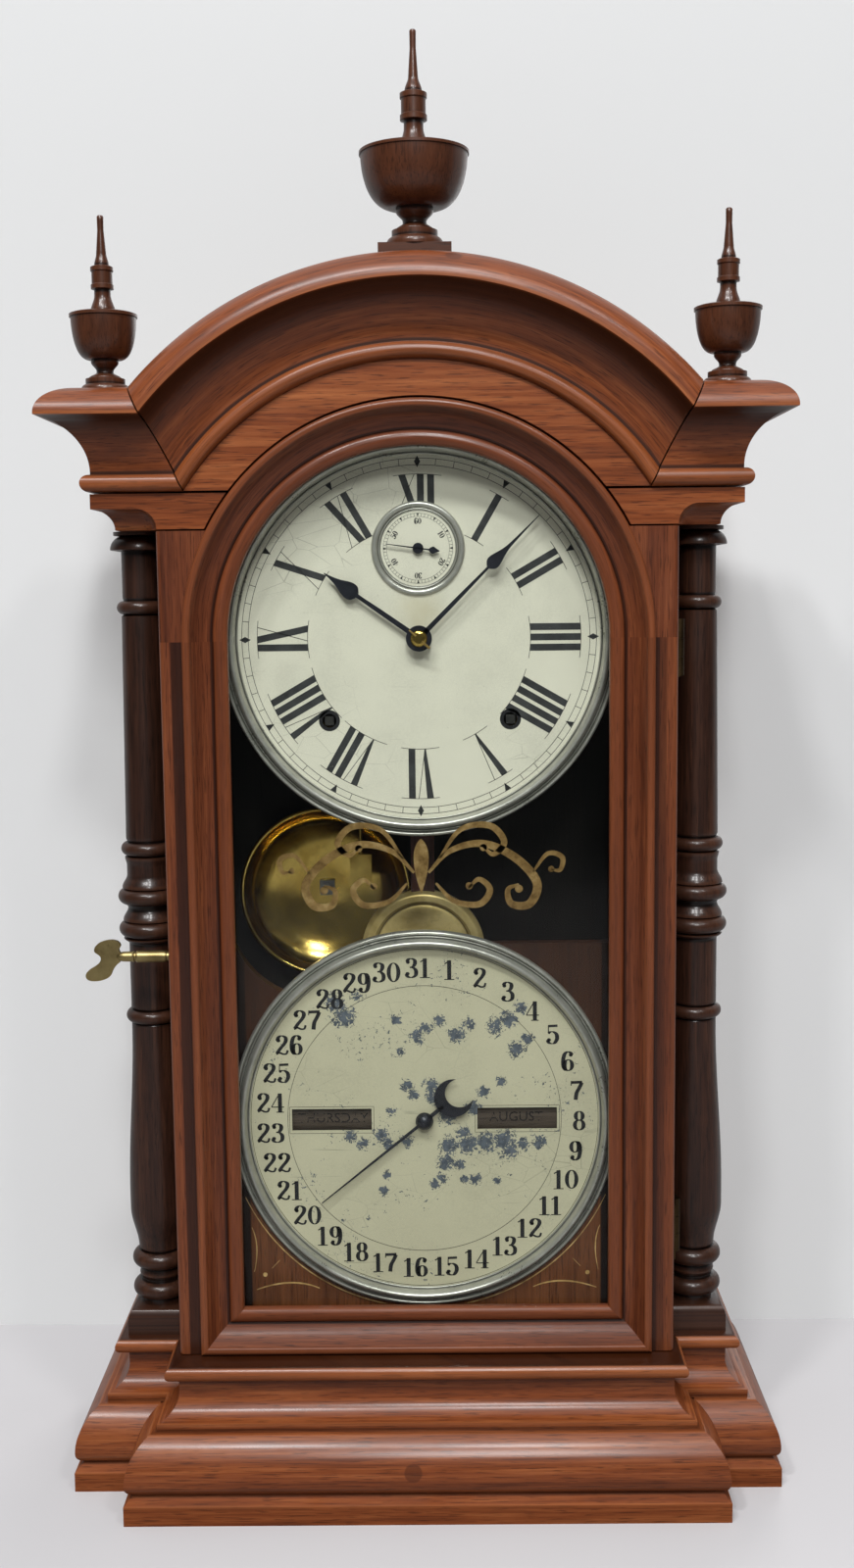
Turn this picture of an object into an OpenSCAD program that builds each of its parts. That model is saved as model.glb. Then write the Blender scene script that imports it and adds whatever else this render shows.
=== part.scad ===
// Double dial calendar shelf clock: a walnut case with a time movement above and a
// calendar below, behind one arched glazed door.
// Millimetres, +Z up, front towards -Y, origin on the table under the middle of the base.
// Depths are measured back from the front of the closed door.

/* [Base] */
// Height of the moulded base
base_h = 80; // [78:0.5:90]
// Half width of the front block at its top bead
block_half_w = 146; // [145:0.5:152]
// Half width of the side wings at their top bead
wing_half_w = 180.5; // [179:0.5:188]
// How far the plinth stands out beyond the top bead
base_spread = 21; // [19:0.5:24]
// How far the front block's bead stands ahead of the door
block_lead = 14.5; // [12:0.5:18]
// How far the wing's bead stands behind the door front
wing_setback = 21; // [17:0.5:25]
// Height of the plinth's upright face
plinth_h = 11; // [8:0.5:13]
// Size of the bevel on top of the plinth
plinth_bevel = 4.5; // [3:0.5:6]
// Height of the swelling ogee above the plinth
ogee_h = 30.5; // [28:0.5:32]
// Radius of the ogee's swell
ogee_r = 28.5; // [27.5:0.5:32]
// Radius under the ogee's nose
nose_r = 6.5; // [5:0.5:8]
// Height of the fillet above the ogee
base_fillet_h = 4; // [2:0.5:5]
// How far the fillet stands out from the top bead
base_fillet_out = 4.2; // [3:0.2:6]
// How far the upper hollow cuts in behind the top bead
base_hollow_in = 7; // [5:0.2:8]
// Thickness of the top bead of the base
base_bead_d = 8.5; // [7:0.5:9]
// Wall left round the hollow under the base
base_wall = 26; // [20:1:30]

/* [Case] */
// Depth from the door front to the back of the case
case_depth = 126; // [120:1:140]
// Thickness of the back board
back_t = 8; // [6:0.5:10]
// Half width of the case across its side panels
side_half_w = 158; // [156:0.5:160]
// Thickness of the side panels
side_t = 8; // [6:0.5:10]
// Inner half width between the front posts
post_half_in = 118; // [116:0.5:120]
// Outer half width of the front posts
post_half_out = 138; // [136:0.5:138.4]
// Depth at which the case steps out behind the columns
step_y = 65; // [64.5:0.5:68]
// Thickness of the board behind each column
step_t = 7; // [5:0.5:9]
// Height of the frieze
frieze_h = 19; // [16:0.5:21]
// Half width of the frieze
frieze_half_w = 175.6; // [174:0.2:178]
// Depth of the frieze front behind the door front
frieze_y = 10; // [9:0.5:12]
// Radius of the hollow under the corner of the frieze
frieze_cove_r = 11; // [8:0.5:12]
// Slit between the frieze and the arched panel
frieze_slit = 1.3; // [0.6:0.1:2]
// Depth at which the cornice front mouldings end
cornice_back_y = 40; // [38:0.5:44]
// Half width inside the cornice's side returns
return_half_in = 150; // [149:0.5:152]
// Thickness of the roof board
roof_t = 8; // [6:0.5:10]

/* [Cornice] */
// Radius of the lower edge of the arched cornice
cornice_r = 149; // [146:0.5:152]
// Half width at which the arch meets the level wings, at its lower edge
mitre_half_w = 125.4; // [123:0.2:128]
// Slope of the mitre between arch and wing
mitre_a = 63.8; // [61:0.2:66]
// Diameter of the lower bead of the cornice
cornice_bead_d = 9; // [7:0.5:10]
// How far the cornice stands out from the frieze
cornice_out = 23.5; // [22:0.5:25]
// How far its hollow starts behind the frieze
cornice_cove_in = 0.5; // [0.2:0.1:1]
// Height of the upright edge above the hollow
cornice_edge_h = 0.8; // [0.4:0.1:3]
// Width of the rounded top of the cornice
cornice_round_w = 21; // [18:0.5:22]
// Height of that rounded top
cornice_round_h = 15; // [13:0.5:16]

/* [Columns] */
// Distance of each column's axis from the middle
column_x = 156.3; // [156:0.1:157]
// Depth of the column axis behind the door front
column_y = 46; // [46:0.5:46.5]
// Half width of the square block under the column
column_block_half = 17.4; // [16:0.2:17.6]
// Height of that block
column_block_h = 15; // [12:0.5:17]
// Radius of the large rings
knop_r = 18; // [16.5:0.1:18]
// Radius of the small rings
ring_r = 15.5; // [14:0.1:16]
// Radius of the foot rings
foot_ring_r = 16.5; // [15:0.1:17]
// Largest radius of the lower vase
vase_r = 16.8; // [15:0.1:17.2]
// Radius of the necks between rings
column_neck_r = 12.6; // [11:0.1:13]
// Radius of the shaft under the capital
shaft_top_r = 10.2; // [9:0.1:11]
// Radius of the capital
capital_r = 16.2; // [14:0.1:17]
// Height of the lower ring above the base
vase_ring_h = 187.7; // [180:0.1:192]
// Height of the lower large ring above the base
knop_low_h = 238.6; // [234:0.1:242]
// Height of the upper large ring above the base
knop_high_h = 257.5; // [255:0.1:262]
// Height of the ring over the large rings
shaft_ring_h = 285; // [282:0.1:290]
// Distance of the neck ring below the top of the column
neck_ring_drop = 42; // [36:0.5:46]

/* [Finials] */
// Radius of the top finial's cup
top_cup_r = 29.5; // [26:0.5:32]
// Height of the top finial's cup
top_cup_h = 30; // [26:0.5:33]
// Height of the top finial's spire
top_spire_h = 64; // [55:0.5:70]
// Radius of the side finials' cups
side_cup_r = 17.6; // [15:0.1:19]
// Height of the side finials' cups
side_cup_h = 24; // [20:0.5:26]
// Height of the side finials' spires
side_spire_h = 52; // [46:0.5:56]
// Height of the top finial's foot and stem
top_stem_h = 20.5; // [18:0.5:22]
// Height of the side finials' feet and stems
side_stem_h = 17.5; // [15:0.5:19]
// Distance of the side finials from the middle
side_finial_x = 169; // [167:0.5:170]
// Depth of the side finials behind the door front
side_finial_y = 30; // [26:0.5:34]
// Depth of the top finial behind the door front
top_finial_y = 50; // [44:0.5:60]
// Half width of the plate under the top finial
finial_plate_half = 20; // [18:0.5:22]
// Height of that plate above the arch
finial_plate_h = 10.5; // [9:0.5:13]

/* [Door] */
// Half width of the door
door_half_w = 140; // [139:0.2:141]
// Height of the arch centre above the door's foot
door_spring_h = 402.5; // [398:0.5:420]
// Gap under the door
door_foot_gap = 0.5; // [0.4:0.1:1]
// Thickness of the door
door_t = 24; // [22:0.5:24]
// Width of each stile
stile_w = 36.5; // [36:0.2:38]
// Width of the moulding round the glass
moulding_w = 24; // [22:0.2:26]
// Depth of the flat field behind the moulding's bead
field_y = 3.5; // [2.5:0.1:4.5]
// Rise of the door's square shoulders above the arch centre
shoulder_rise = 59.3; // [57:0.1:60]
// Gap over the shoulders
shoulder_gap = 1.2; // [0.8:0.1:2]
// Gap round the door's arch
arch_gap = 2.2; // [2:0.1:3]
// Depth of the glass front
glass_y = 13; // [12:0.5:14]
// Thickness of the glass
glass_t = 2.5; // [2:0.1:3]
// How far the glass runs into the frame
glass_in = 5; // [3:0.5:5.5]

/* [Hinges and latch] */
// Height of each hinge
hinge_h = 31; // [26:0.5:36]
// Height of the upper hinge's middle below the arch centre
hinge_top_drop = 6; // [2:0.5:12]
// Height of the lower hinge's middle above the door's foot
hinge_low_h = 68; // [60:0.5:80]
// Depth of the hinge axis
hinge_y = 20; // [19:0.2:20.4]
// Outer radius of the hinge knuckles
knuckle_r = 2.4; // [2:0.1:2.6]
// Radius of the hinge pins
hinge_pin_r = 1.2; // [1:0.05:1.4]
// Height of the latch key above the door's foot
latch_h = 228.2; // [220:0.5:236]
// Depth of the latch spindle
latch_y = 13; // [13:0.2:13.4]
// Radius of the latch spindle
spindle_r = 2.65; // [2:0.05:3]
// Outer radius of the latch hook
hook_r = 19; // [18.5:0.1:19.5]
// Radial width of the latch hook
hook_w = 4; // [3:0.1:4.2]
// Thickness of the latch hook
hook_t = 4; // [3:0.1:5]
// Radius of the keeper pin
keeper_r = 1.5; // [1:0.05:1.7]

/* [Dials] */
// Radius of both dials
dial_r = 104; // [103:0.1:105]
// Height of the calendar's centre above the door's foot
cal_rise = 125.5; // [124:0.5:127]
// Depth of the time dial's face
time_dial_y = 34; // [33.8:0.1:34.2]
// Thickness of the time dial
time_dial_t = 1; // [0.8:0.1:1.2]
// Depth of the calendar dial's face
cal_dial_y = 36; // [35.5:0.1:36.5]
// Thickness of the calendar dial
cal_dial_t = 2; // [1.5:0.1:2.4]
// Radius of the bezel's round bead
bezel_bead_r = 2.8; // [2:0.1:3]
// Reach of each bezel's flange past its dial
bezel_flange = 7.2; // [5:0.1:8]
// Height of the seconds dial's centre above the time dial's
seconds_rise = 49.5; // [49:0.1:50]
// Outer radius of the seconds bezel
seconds_bezel_r = 26; // [23:0.5:27]
// Sideways distance of the winding holes
winding_x = 50.6; // [50.2:0.1:51]
// Drop of the winding holes below the dial centre
winding_drop = 45.5; // [45:0.1:46]
// Radius of the winding holes in the dial
winding_hole_r = 5; // [4.5:0.1:6]
// Distance from the middle to the near end of each calendar window
window_in = 30.5; // [30.2:0.1:31]
// Distance from the middle to the far end of each calendar window
window_out = 76.5; // [74:0.5:77]
// Height of the calendar windows
window_h = 13.2; // [11:0.2:15]

/* [Calendar] */
// Thickness of the calendar board
cal_board_t = 8; // [7:0.5:8.5]
// Rise of the board's top above the calendar's centre
cal_board_rise = 102.6; // [101:0.1:106]
// Radius of the hole behind the calendar dial
cal_hole_r = 97; // [95:0.5:98]
// Radius of the weekday roller
day_r = 14.5; // [12:0.1:16]
// Radius of the month roller
month_r = 24.5; // [20:0.1:25.5]
// Wall of the hollow rollers
roller_wall = 1.6; // [1:0.1:3]
// Gap between dial and rollers
roller_gap = 1; // [0.6:0.1:1.5]
// Radius of the roller arbors and of the date arbor
cal_arbor_r = 2; // [1.6:0.1:2.4]
// Length of the date hand
date_hand_l = 77; // [60:0.5:84]

/* [Hands] */
// Length of the minute hand
minute_l = 94; // [80:0.5:96]
// Length of the hour hand
hour_l = 63.5; // [52:0.5:66]
// Length of the seconds pointer
seconds_l = 18; // [14:0.5:19]
// Thickness of the hands
hand_t = 0.8; // [0.5:0.1:1]

/* [Movement] */
// Depth of the front plate's front face
plate_y = 46; // [45.8:0.1:46.4]
// Thickness of the brass plates
plate_t = 2; // [1.6:0.1:2.2]
// Clear distance between the plates
plate_space = 30; // [29.6:0.1:32]
// Radius of the plate pillars
pillar_r = 3.5; // [2.5:0.1:4]
// Radius of the posts to the back board
post_r = 4; // [3:0.1:5]
// Radius of the centre arbor
centre_r = 2.2; // [1.9:0.05:2.3]
// Radius of the train arbors
arbor_r = 1.5; // [1.2:0.05:1.6]
// Radius of the winding arbors
winding_r = 4; // [3.4:0.1:4.4]
// Thickness of the wheels
wheel_t = 1.6; // [1:0.1:1.8]
// Radius of the escape wheel
escape_r = 18; // [16:0.2:18.4]
// Rise of the pendulum pivot above the dial centre
pivot_rise = 73; // [73:0.2:75]

/* [Pendulum and bell] */
// Drop of the bob's centre below the dial centre
bob_drop = 188.5; // [186:0.5:196]
// Radius of the bob
bob_r = 37; // [33:0.5:38]
// Thickness of the bob
bob_t = 12; // [9:0.5:13]
// Width of the pendulum rod
rod_w = 14; // [10:0.5:14]
// Thickness of the pendulum rod
rod_t = 5; // [4:0.2:5.4]
// Depth of the pendulum behind the door front
pendulum_y = 88; // [87.8:0.1:88.4]
// Rim radius of the bell
bell_r = 50.5; // [46:0.5:53]
// Gap between the bob and the bell's lip
bell_gap = 1.9; // [1.5:0.1:3]
// Wall of the bell
bell_wall = 1.6; // [1.2:0.1:2.4]
// Sideways distance of the bell from the middle
bell_x = 59; // [57:0.5:63]
// Drop of the bell's centre below the dial centre
bell_drop = 154.5; // [152:0.5:160]
// Room round the bell in the notch of the calendar board
bell_notch = 1.5; // [1:0.1:3]

/* [Fits] */
// Radial clearance of a running fit
run_fit = 0.06; // [0.02:0.01:0.1]
// Gap between bodies that pass each other
clear = 0.4; // [0.3:0.05:0.6]

/* [Hidden] */
$fn = 96;

walnut = "sienna";
dark_walnut = "saddlebrown";
brass = "goldenrod";
nickel = "silver";
enamel = "ivory";
blued = "midnightblue";
steel = "dimgray";

eps = 0.01;
far = 1000;
y_mid = (case_depth - block_lead - base_spread) / 2;
back_y = yd(case_depth);
back_in_y = yd(case_depth - back_t);
door_z = base_h + door_foot_gap;
spring_z = door_z + door_spring_h;
cal_z = door_z + cal_rise;
frieze_z = spring_z + shoulder_rise + shoulder_gap;
frieze_top_z = frieze_z + frieze_h;
open_half_w = door_half_w - stile_w;
open_z = door_z + moulding_w;
arch_r = open_half_w + moulding_w;
post_gap = 0.5;
post_y = door_t + post_gap;
column_h = frieze_z - base_h;

// Depth behind the door front to the model's own y.
function yd(depth) = depth - y_mid;

// Points of an arc, from angle a0 to a1 in n steps.
function arc(cx, cy, r, a0, a1, n = 8) =
    [for (i = [0:n]) [cx + r * cos(a0 + (a1 - a0) * i / n), cy + r * sin(a0 + (a1 - a0) * i / n)]];

// A smooth turned stretch from radius r0 at z0 to r1 at z1.
function ease(r0, z0, r1, z1, n = 6) =
    [for (i = [0:n]) [r0 + (r1 - r0) * (1 - cos(180 * i / n)) / 2, z0 + (z1 - z0) * i / n]];

// A turned bead of outer radius r and half height h at height z.
function bead(r, z, h) = arc(r - h, z, h, -90, 90, 6);

function flip(points) = [for (i = [len(points) - 1:-1:0]) points[i]];

// Extrudes an x-z drawing along y, and a y-z drawing along x.
module along_y(y0, y1) {
    translate([0, y1, 0]) rotate([90, 0, 0]) linear_extrude(y1 - y0) children();
}
module along_x(x0, x1) {
    translate([x0, 0, 0]) rotate([90, 0, 90]) linear_extrude(x1 - x0) children();
}

// Turns a radius-depth drawing about the y axis through (x, z).
module turn_y(x, z) {
    translate([x, 0, z]) rotate([-90, 0, 0]) rotate_extrude() children();
}

// A round bar along y from y0 to y1.
module bar_y(x, z, r, y0, y1) {
    translate([x, y0, z]) rotate([-90, 0, 0]) cylinder(r = r, h = y1 - y0);
}

// A round bar along x from x0 to x1.
module bar_x(y, z, r, x0, x1) {
    translate([x0, y, z]) rotate([0, 90, 0]) cylinder(r = r, h = x1 - x0);
}

// A box between two corners.
module box(low, high) {
    translate(low) cube(high - low);
}

// Draws its child on the right, or mirrored on the left.
module sided(right) {
    if (right) children();
    else mirror([1, 0, 0]) children();
}

// Base mouldings: distance out from the top bead against height.
ogee_top_z = plinth_h + plinth_bevel + ogee_h;
nose_low_a = -65;
nose_quirk = 1;
nose_shy = 0.5;
nose_out = base_spread - nose_shy;
nose_z = plinth_h + plinth_bevel + nose_quirk - nose_r * sin(nose_low_a);
ogee_end_a = asin((ogee_top_z - nose_z) / ogee_r);
hollow_sweep = 80;
base_hollow_low = ogee_top_z + base_fillet_h;
base_hollow_r = (base_fillet_out + base_hollow_in) / (1 - cos(hollow_sweep));
base_hollow_top = base_hollow_low + base_hollow_r * sin(hollow_sweep);
base_profile = concat(
    [[base_spread, 0], [base_spread, plinth_h], [base_spread - plinth_bevel, plinth_h + plinth_bevel]],
    arc(nose_out - nose_r, nose_z, nose_r, nose_low_a, nose_low_a / 5, 4),
    arc(nose_out - ogee_r, nose_z, ogee_r, 0, ogee_end_a, 8),
    [[base_fillet_out, ogee_top_z]],
    arc(base_hollow_r - base_hollow_in, base_hollow_top, base_hollow_r, 180 + hollow_sweep, 180, 8),
    [[-base_hollow_in, base_h - base_bead_d]],
    arc(-base_bead_d / 2, base_h - base_bead_d / 2, base_bead_d / 2, -90, 90, 8)
);

// A profile stood off from x = half, as drawn in x and z.
function stood_off(profile, half) = [for (p = profile) [half + p[0], p[1]]];

// The front view of a profile whose face is at depth front, closed at the back.
module front_run(profile, front, back) {
    z0 = profile[0][1];
    z1 = profile[len(profile) - 1][1];
    polygon(concat([for (p = profile) [front - p[0], p[1]]], [[back, z1], [back, z0]]));
}

module base_front_block() {
    right = stood_off(base_profile, block_half_w);
    left = [for (p = flip(right)) [-p[0], p[1]]];
    color(walnut) difference() {
        intersection() {
            along_y(-far, back_y) polygon(concat(right, left));
            along_x(-far, far) front_run(base_profile, yd(-block_lead), back_y);
        }
        box([-block_half_w + base_wall, yd(-block_lead) + base_wall, -eps],
            [block_half_w - base_wall, back_y - base_wall, base_h - base_wall]);
    }
}

module base_wing(right) {
    outer = stood_off(base_profile, wing_half_w);
    inner = stood_off(base_profile, block_half_w);
    color(walnut) sided(right) intersection() {
        along_y(-far, back_y) polygon(concat(outer, flip(inner)));
        along_x(-far, far) front_run(base_profile, yd(wing_setback), back_y);
    }
}
module base_wing_left() { base_wing(false); }
module base_wing_right() { base_wing(true); }

// Columns: a square block and one long turning from base to frieze.
column_block_lip = 8;
column_block_in = 3.5;
foot_ring_half = 5;
foot_ring_low = column_block_h + foot_ring_half + 4;
foot_ring_high = foot_ring_low + 18;
ring_half = 3.8;
knop_half = 4.5;
knop_collar = 2;
vase_low_h = foot_ring_high + foot_ring_half + 1.5;
vase_mid_h = vase_low_h + 32;
capital_h = 8;
abacus_h = 2;
column_turning = concat(
    [[0, column_block_h], [foot_ring_r - foot_ring_half, column_block_h]],
    bead(foot_ring_r, foot_ring_low, foot_ring_half),
    ease(foot_ring_r - foot_ring_half, foot_ring_low + foot_ring_half + 1,
         column_neck_r, foot_ring_low + 9, 3),
    bead(foot_ring_r, foot_ring_high, foot_ring_half),
    ease(column_neck_r, vase_low_h, vase_r, vase_mid_h - 8, 6),
    ease(vase_r, vase_mid_h, column_neck_r, vase_ring_h - ring_half - 1, 8),
    bead(ring_r, vase_ring_h, ring_half),
    [[column_neck_r, vase_ring_h + ring_half + 1]],
    [[column_neck_r, knop_low_h - knop_half - 3 * knop_collar]],
    ease(column_neck_r, knop_low_h - knop_half - 2 * knop_collar,
         ring_r, knop_low_h - knop_half - 1, 3),
    bead(knop_r, knop_low_h, knop_half),
    ease(ring_r, knop_low_h + knop_half + 0.5, column_neck_r, knop_high_h - knop_half - 2, 4),
    bead(knop_r, knop_high_h, knop_half),
    ease(ring_r, knop_high_h + knop_half + 0.5, column_neck_r, knop_high_h + knop_half + 8, 4),
    ease(column_neck_r, shaft_ring_h - ring_half - 6, ring_r - 2, shaft_ring_h - ring_half - 1, 3),
    bead(ring_r, shaft_ring_h, ring_half),
    [[column_neck_r, shaft_ring_h + ring_half + 2]],
    [[shaft_top_r + 0.8, column_h - neck_ring_drop - ring_half - 1]],
    bead(ring_r - 2, column_h - neck_ring_drop, ring_half),
    [[shaft_top_r, column_h - neck_ring_drop + ring_half + 2]],
    [[shaft_top_r, column_h - abacus_h - capital_h - 1], [capital_r, column_h - abacus_h - capital_h]],
    arc(capital_r - capital_h, column_h - abacus_h - capital_h, capital_h, 0, 70, 6),
    [[capital_r - 2, column_h - abacus_h], [capital_r - 2, column_h], [0, column_h]]
);
module column_block_run() {
    ovolo = [for (a = [0:18:90]) [column_block_half - column_block_in * (1 - cos(a)),
                                  column_block_lip + (column_block_h - column_block_lip) * sin(a)]];
    polygon(concat([[-column_block_half, 0], [column_block_half, 0]], ovolo,
                   [for (p = flip(ovolo)) [-p[0], p[1]]]));
}
module column(right) {
    color(dark_walnut) sided(right) translate([column_x, yd(column_y), base_h]) union() {
        rotate_extrude() polygon(column_turning);
        intersection() {
            along_y(-far, far) column_block_run();
            along_x(-far, far) column_block_run();
        }
    }
}
module column_left() { column(false); }
module column_right() { column(true); }

// Case sides: post beside the door, board behind the column and side panel, in one.
latch_z = door_z + latch_h;
hook_x = open_half_w + 20.5;
keeper_y = post_y + keeper_r + 0.2;
keeper_reach = 7;
pocket_w = hook_t + 2 * clear;
pocket_rise = 14;
module case_side_body() {
    translate([0, 0, base_h]) linear_extrude(frieze_z - base_h) polygon([
        [post_half_in, yd(post_y)], [post_half_out, yd(post_y)], [post_half_out, yd(step_y)],
        [side_half_w, yd(step_y)], [side_half_w, back_y], [side_half_w - side_t, back_y],
        [side_half_w - side_t, yd(step_y + step_t)], [post_half_in, yd(step_y + step_t)]
    ]);
}
module case_side_left() {
    color(walnut) mirror([1, 0, 0]) difference() {
        case_side_body();
        box([hook_x - pocket_w / 2, yd(post_y) - 1, latch_z - hook_r + clear],
            [hook_x + pocket_w / 2, yd(latch_y + hook_r + 2), latch_z + pocket_rise]);
        bar_x(yd(keeper_y), latch_z, keeper_r, hook_x - keeper_reach, hook_x + keeper_reach);
    }
}
module case_side_right() {
    color(walnut) case_side_body();
}
module latch_keeper() {
    color(steel) mirror([1, 0, 0])
        bar_x(yd(keeper_y), latch_z, keeper_r, hook_x - keeper_reach, hook_x + keeper_reach);
}

// Cornice: distance out from the frieze against radius from the arch centre.
cornice_bead_r = cornice_bead_d / 2;
cornice_cove_low = cornice_r + cornice_bead_d + 1;
cornice_cove_r = (cornice_out + cornice_cove_in) / (1 - cos(hollow_sweep));
cornice_edge_r = cornice_cove_low + cornice_cove_r * sin(hollow_sweep) + cornice_edge_h;
cornice_top_r = cornice_edge_r + cornice_round_h;
cornice_profile = concat(
    arc(0, cornice_r + cornice_bead_r, cornice_bead_r, -90, 90, 8),
    [[-cornice_cove_in, cornice_r + cornice_bead_d]],
    arc(cornice_cove_r - cornice_cove_in, cornice_cove_low, cornice_cove_r, 180, 180 - hollow_sweep, 8),
    [for (a = [0:10:90]) [cornice_out - cornice_round_w * (1 - cos(a)),
                          cornice_edge_r + cornice_round_h * sin(a)]]
);

// Height above the arch centre, and half width, at which radius r meets the mitre.
mitre_low_rise = sqrt(pow(cornice_r, 2) - pow(mitre_half_w, 2));
mitre_run = mitre_half_w * cos(mitre_a) + mitre_low_rise * sin(mitre_a);
function mitre_reach(r) = sqrt(pow(mitre_run, 2) + pow(r, 2) - pow(cornice_r, 2)) - mitre_run;
function mitre_z(r) = spring_z + mitre_low_rise + mitre_reach(r) * sin(mitre_a);
function mitre_x(r) = mitre_half_w + mitre_reach(r) * cos(mitre_a);
wing_profile = [for (p = cornice_profile) [p[0], mitre_z(p[1])]];
wing_top_z = mitre_z(cornice_top_r);
wing_low_z = mitre_z(cornice_r);

module cornice_arch() {
    above = 1.5 * cornice_top_r;
    color(walnut) intersection() {
        turn_y(0, spring_z) polygon(concat(
            [for (p = cornice_profile) [p[1], yd(frieze_y - p[0])]],
            [[cornice_top_r, yd(cornice_back_y)], [cornice_r, yd(cornice_back_y)]]));
        along_y(-far, far) polygon([
            [mitre_half_w, wing_low_z], [mitre_x(above), mitre_z(above)],
            [-mitre_x(above), mitre_z(above)], [-mitre_half_w, wing_low_z]]);
    }
}
module cornice_wing(right) {
    color(walnut) sided(right) difference() {
        intersection() {
            along_y(-far, back_y) polygon(concat(
                stood_off(wing_profile, frieze_half_w),
                [[mitre_x(cornice_top_r), wing_top_z], [mitre_half_w, wing_low_z]]));
            along_x(0, far) front_run(wing_profile, yd(frieze_y), back_y);
        }
        box([0, yd(cornice_back_y), 0], [return_half_in, far, far]);
    }
}
module cornice_wing_left() { cornice_wing(false); }
module cornice_wing_right() { cornice_wing(true); }

// The frieze over each column, with a hollow scooped from its outer lower corner.
cove_stop_x = column_x - 5;
module frieze(right) {
    color(walnut) sided(right) difference() {
        box([0, yd(frieze_y), frieze_z], [frieze_half_w, back_y, frieze_top_z]);
        box([0, yd(cornice_back_y), 0], [return_half_in, far, far]);
        bar_y(0, spring_z, arch_r + arch_gap, -far, far);
        bar_x(yd(frieze_y), frieze_z, frieze_cove_r, cove_stop_x, far);
        translate([cove_stop_x, yd(frieze_y), frieze_z]) sphere(frieze_cove_r);
        bar_y(frieze_half_w, frieze_z, frieze_cove_r, -far, far);
    }
}
module frieze_left() { frieze(false); }
module frieze_right() { frieze(true); }

module arch_panel() {
    color(walnut) difference() {
        intersection() {
            bar_y(0, spring_z, cornice_r, yd(frieze_y), yd(door_t));
            box([-far, -far, frieze_top_z + frieze_slit], [far, far, far]);
        }
        bar_y(0, spring_z, arch_r + arch_gap, -far, far);
    }
}

module roof_board() {
    color(walnut) difference() {
        intersection() {
            bar_y(0, spring_z, cornice_top_r, yd(cornice_back_y), back_in_y);
            box([-far, -far, wing_top_z], [far, far, far]);
        }
        bar_y(0, spring_z, cornice_top_r - roof_t, -far, far);
    }
}

module back_board() {
    color(walnut) union() {
        box([-return_half_in, back_in_y, base_h], [return_half_in, back_y, wing_top_z]);
        intersection() {
            bar_y(0, spring_z, cornice_top_r, back_in_y, back_y);
            box([-far, -far, wing_top_z - eps], [far, far, far]);
        }
    }
}

// Finials: foot, stem, cup and spire turned in one.
finial_foot_edge = 0.8;
finial_lip = 0.7;
finial_lip_h = 1.5;
finial_tip_r = 1.8;
cup_fullness = 0.75;
module finial(stem_h, cup_r, cup_h, spire_h) {
    foot_r = 0.22 * cup_r + 9.4;
    step_r = 0.8 * foot_r;
    stem_r = 0.17 * cup_r + 1.6;
    bowl_r = 0.25 * cup_r + 3;
    collar_r = 0.11 * cup_r + 4.2;
    neck_r = 0.72 * collar_r;
    rim_z = stem_h + cup_h;
    color(walnut) rotate_extrude() polygon(concat(
        [[0, 0], [foot_r, 0]],
        [for (a = [0:18:90]) [step_r + (foot_r - step_r) * cos(a), finial_foot_edge + 0.2 * stem_h * sin(a)]],
        [[step_r, 0.42 * stem_h]],
        ease(0.82 * step_r, 0.45 * stem_h, stem_r, 0.62 * stem_h, 4),
        ease(stem_r, 0.66 * stem_h, bowl_r, 0.93 * stem_h, 4),
        [for (a = [0:12:84]) [bowl_r + (cup_r - bowl_r) * pow(sin(a), cup_fullness),
                              stem_h + cup_h * (1 - cos(a))]],
        [[cup_r, rim_z - finial_lip_h], [cup_r + finial_lip, rim_z - finial_lip_h]],
        [[cup_r + finial_lip, rim_z], [cup_r - 1, rim_z + 0.6]],
        ease(1.1 * collar_r, rim_z + 1, neck_r, rim_z + 0.2 * spire_h, 4),
        [[neck_r, rim_z + 0.25 * spire_h]],
        [[collar_r, rim_z + 0.26 * spire_h], [collar_r, rim_z + 0.3 * spire_h]],
        [[0.91 * collar_r, rim_z + 0.31 * spire_h], [0.91 * collar_r, rim_z + 0.43 * spire_h]],
        [[collar_r, rim_z + 0.44 * spire_h], [collar_r, rim_z + 0.48 * spire_h]],
        ease(0.64 * collar_r, rim_z + 0.5 * spire_h, 1.5 * finial_tip_r, rim_z + 0.62 * spire_h, 4),
        [[0.95 * finial_tip_r, rim_z + 0.85 * spire_h]],
        [[finial_tip_r, rim_z + spire_h], [0, rim_z + spire_h]]));
}
plate_half_y = 0.75 * finial_plate_half;
plate_top_z = spring_z + cornice_top_r + finial_plate_h;
module top_finial() {
    translate([0, yd(top_finial_y), plate_top_z]) finial(top_stem_h, top_cup_r, top_cup_h, top_spire_h);
    color(walnut) difference() {
        box([-finial_plate_half, yd(top_finial_y) - plate_half_y, spring_z],
            [finial_plate_half, yd(top_finial_y) + plate_half_y, plate_top_z + eps]);
        bar_y(0, spring_z, cornice_top_r, -far, far);
    }
}
module side_finial(right) {
    sided(right) translate([side_finial_x, yd(side_finial_y), wing_top_z])
        finial(side_stem_h, side_cup_r, side_cup_h, side_spire_h);
}
module side_finial_left() { side_finial(false); }
module side_finial_right() { side_finial(true); }

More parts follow.
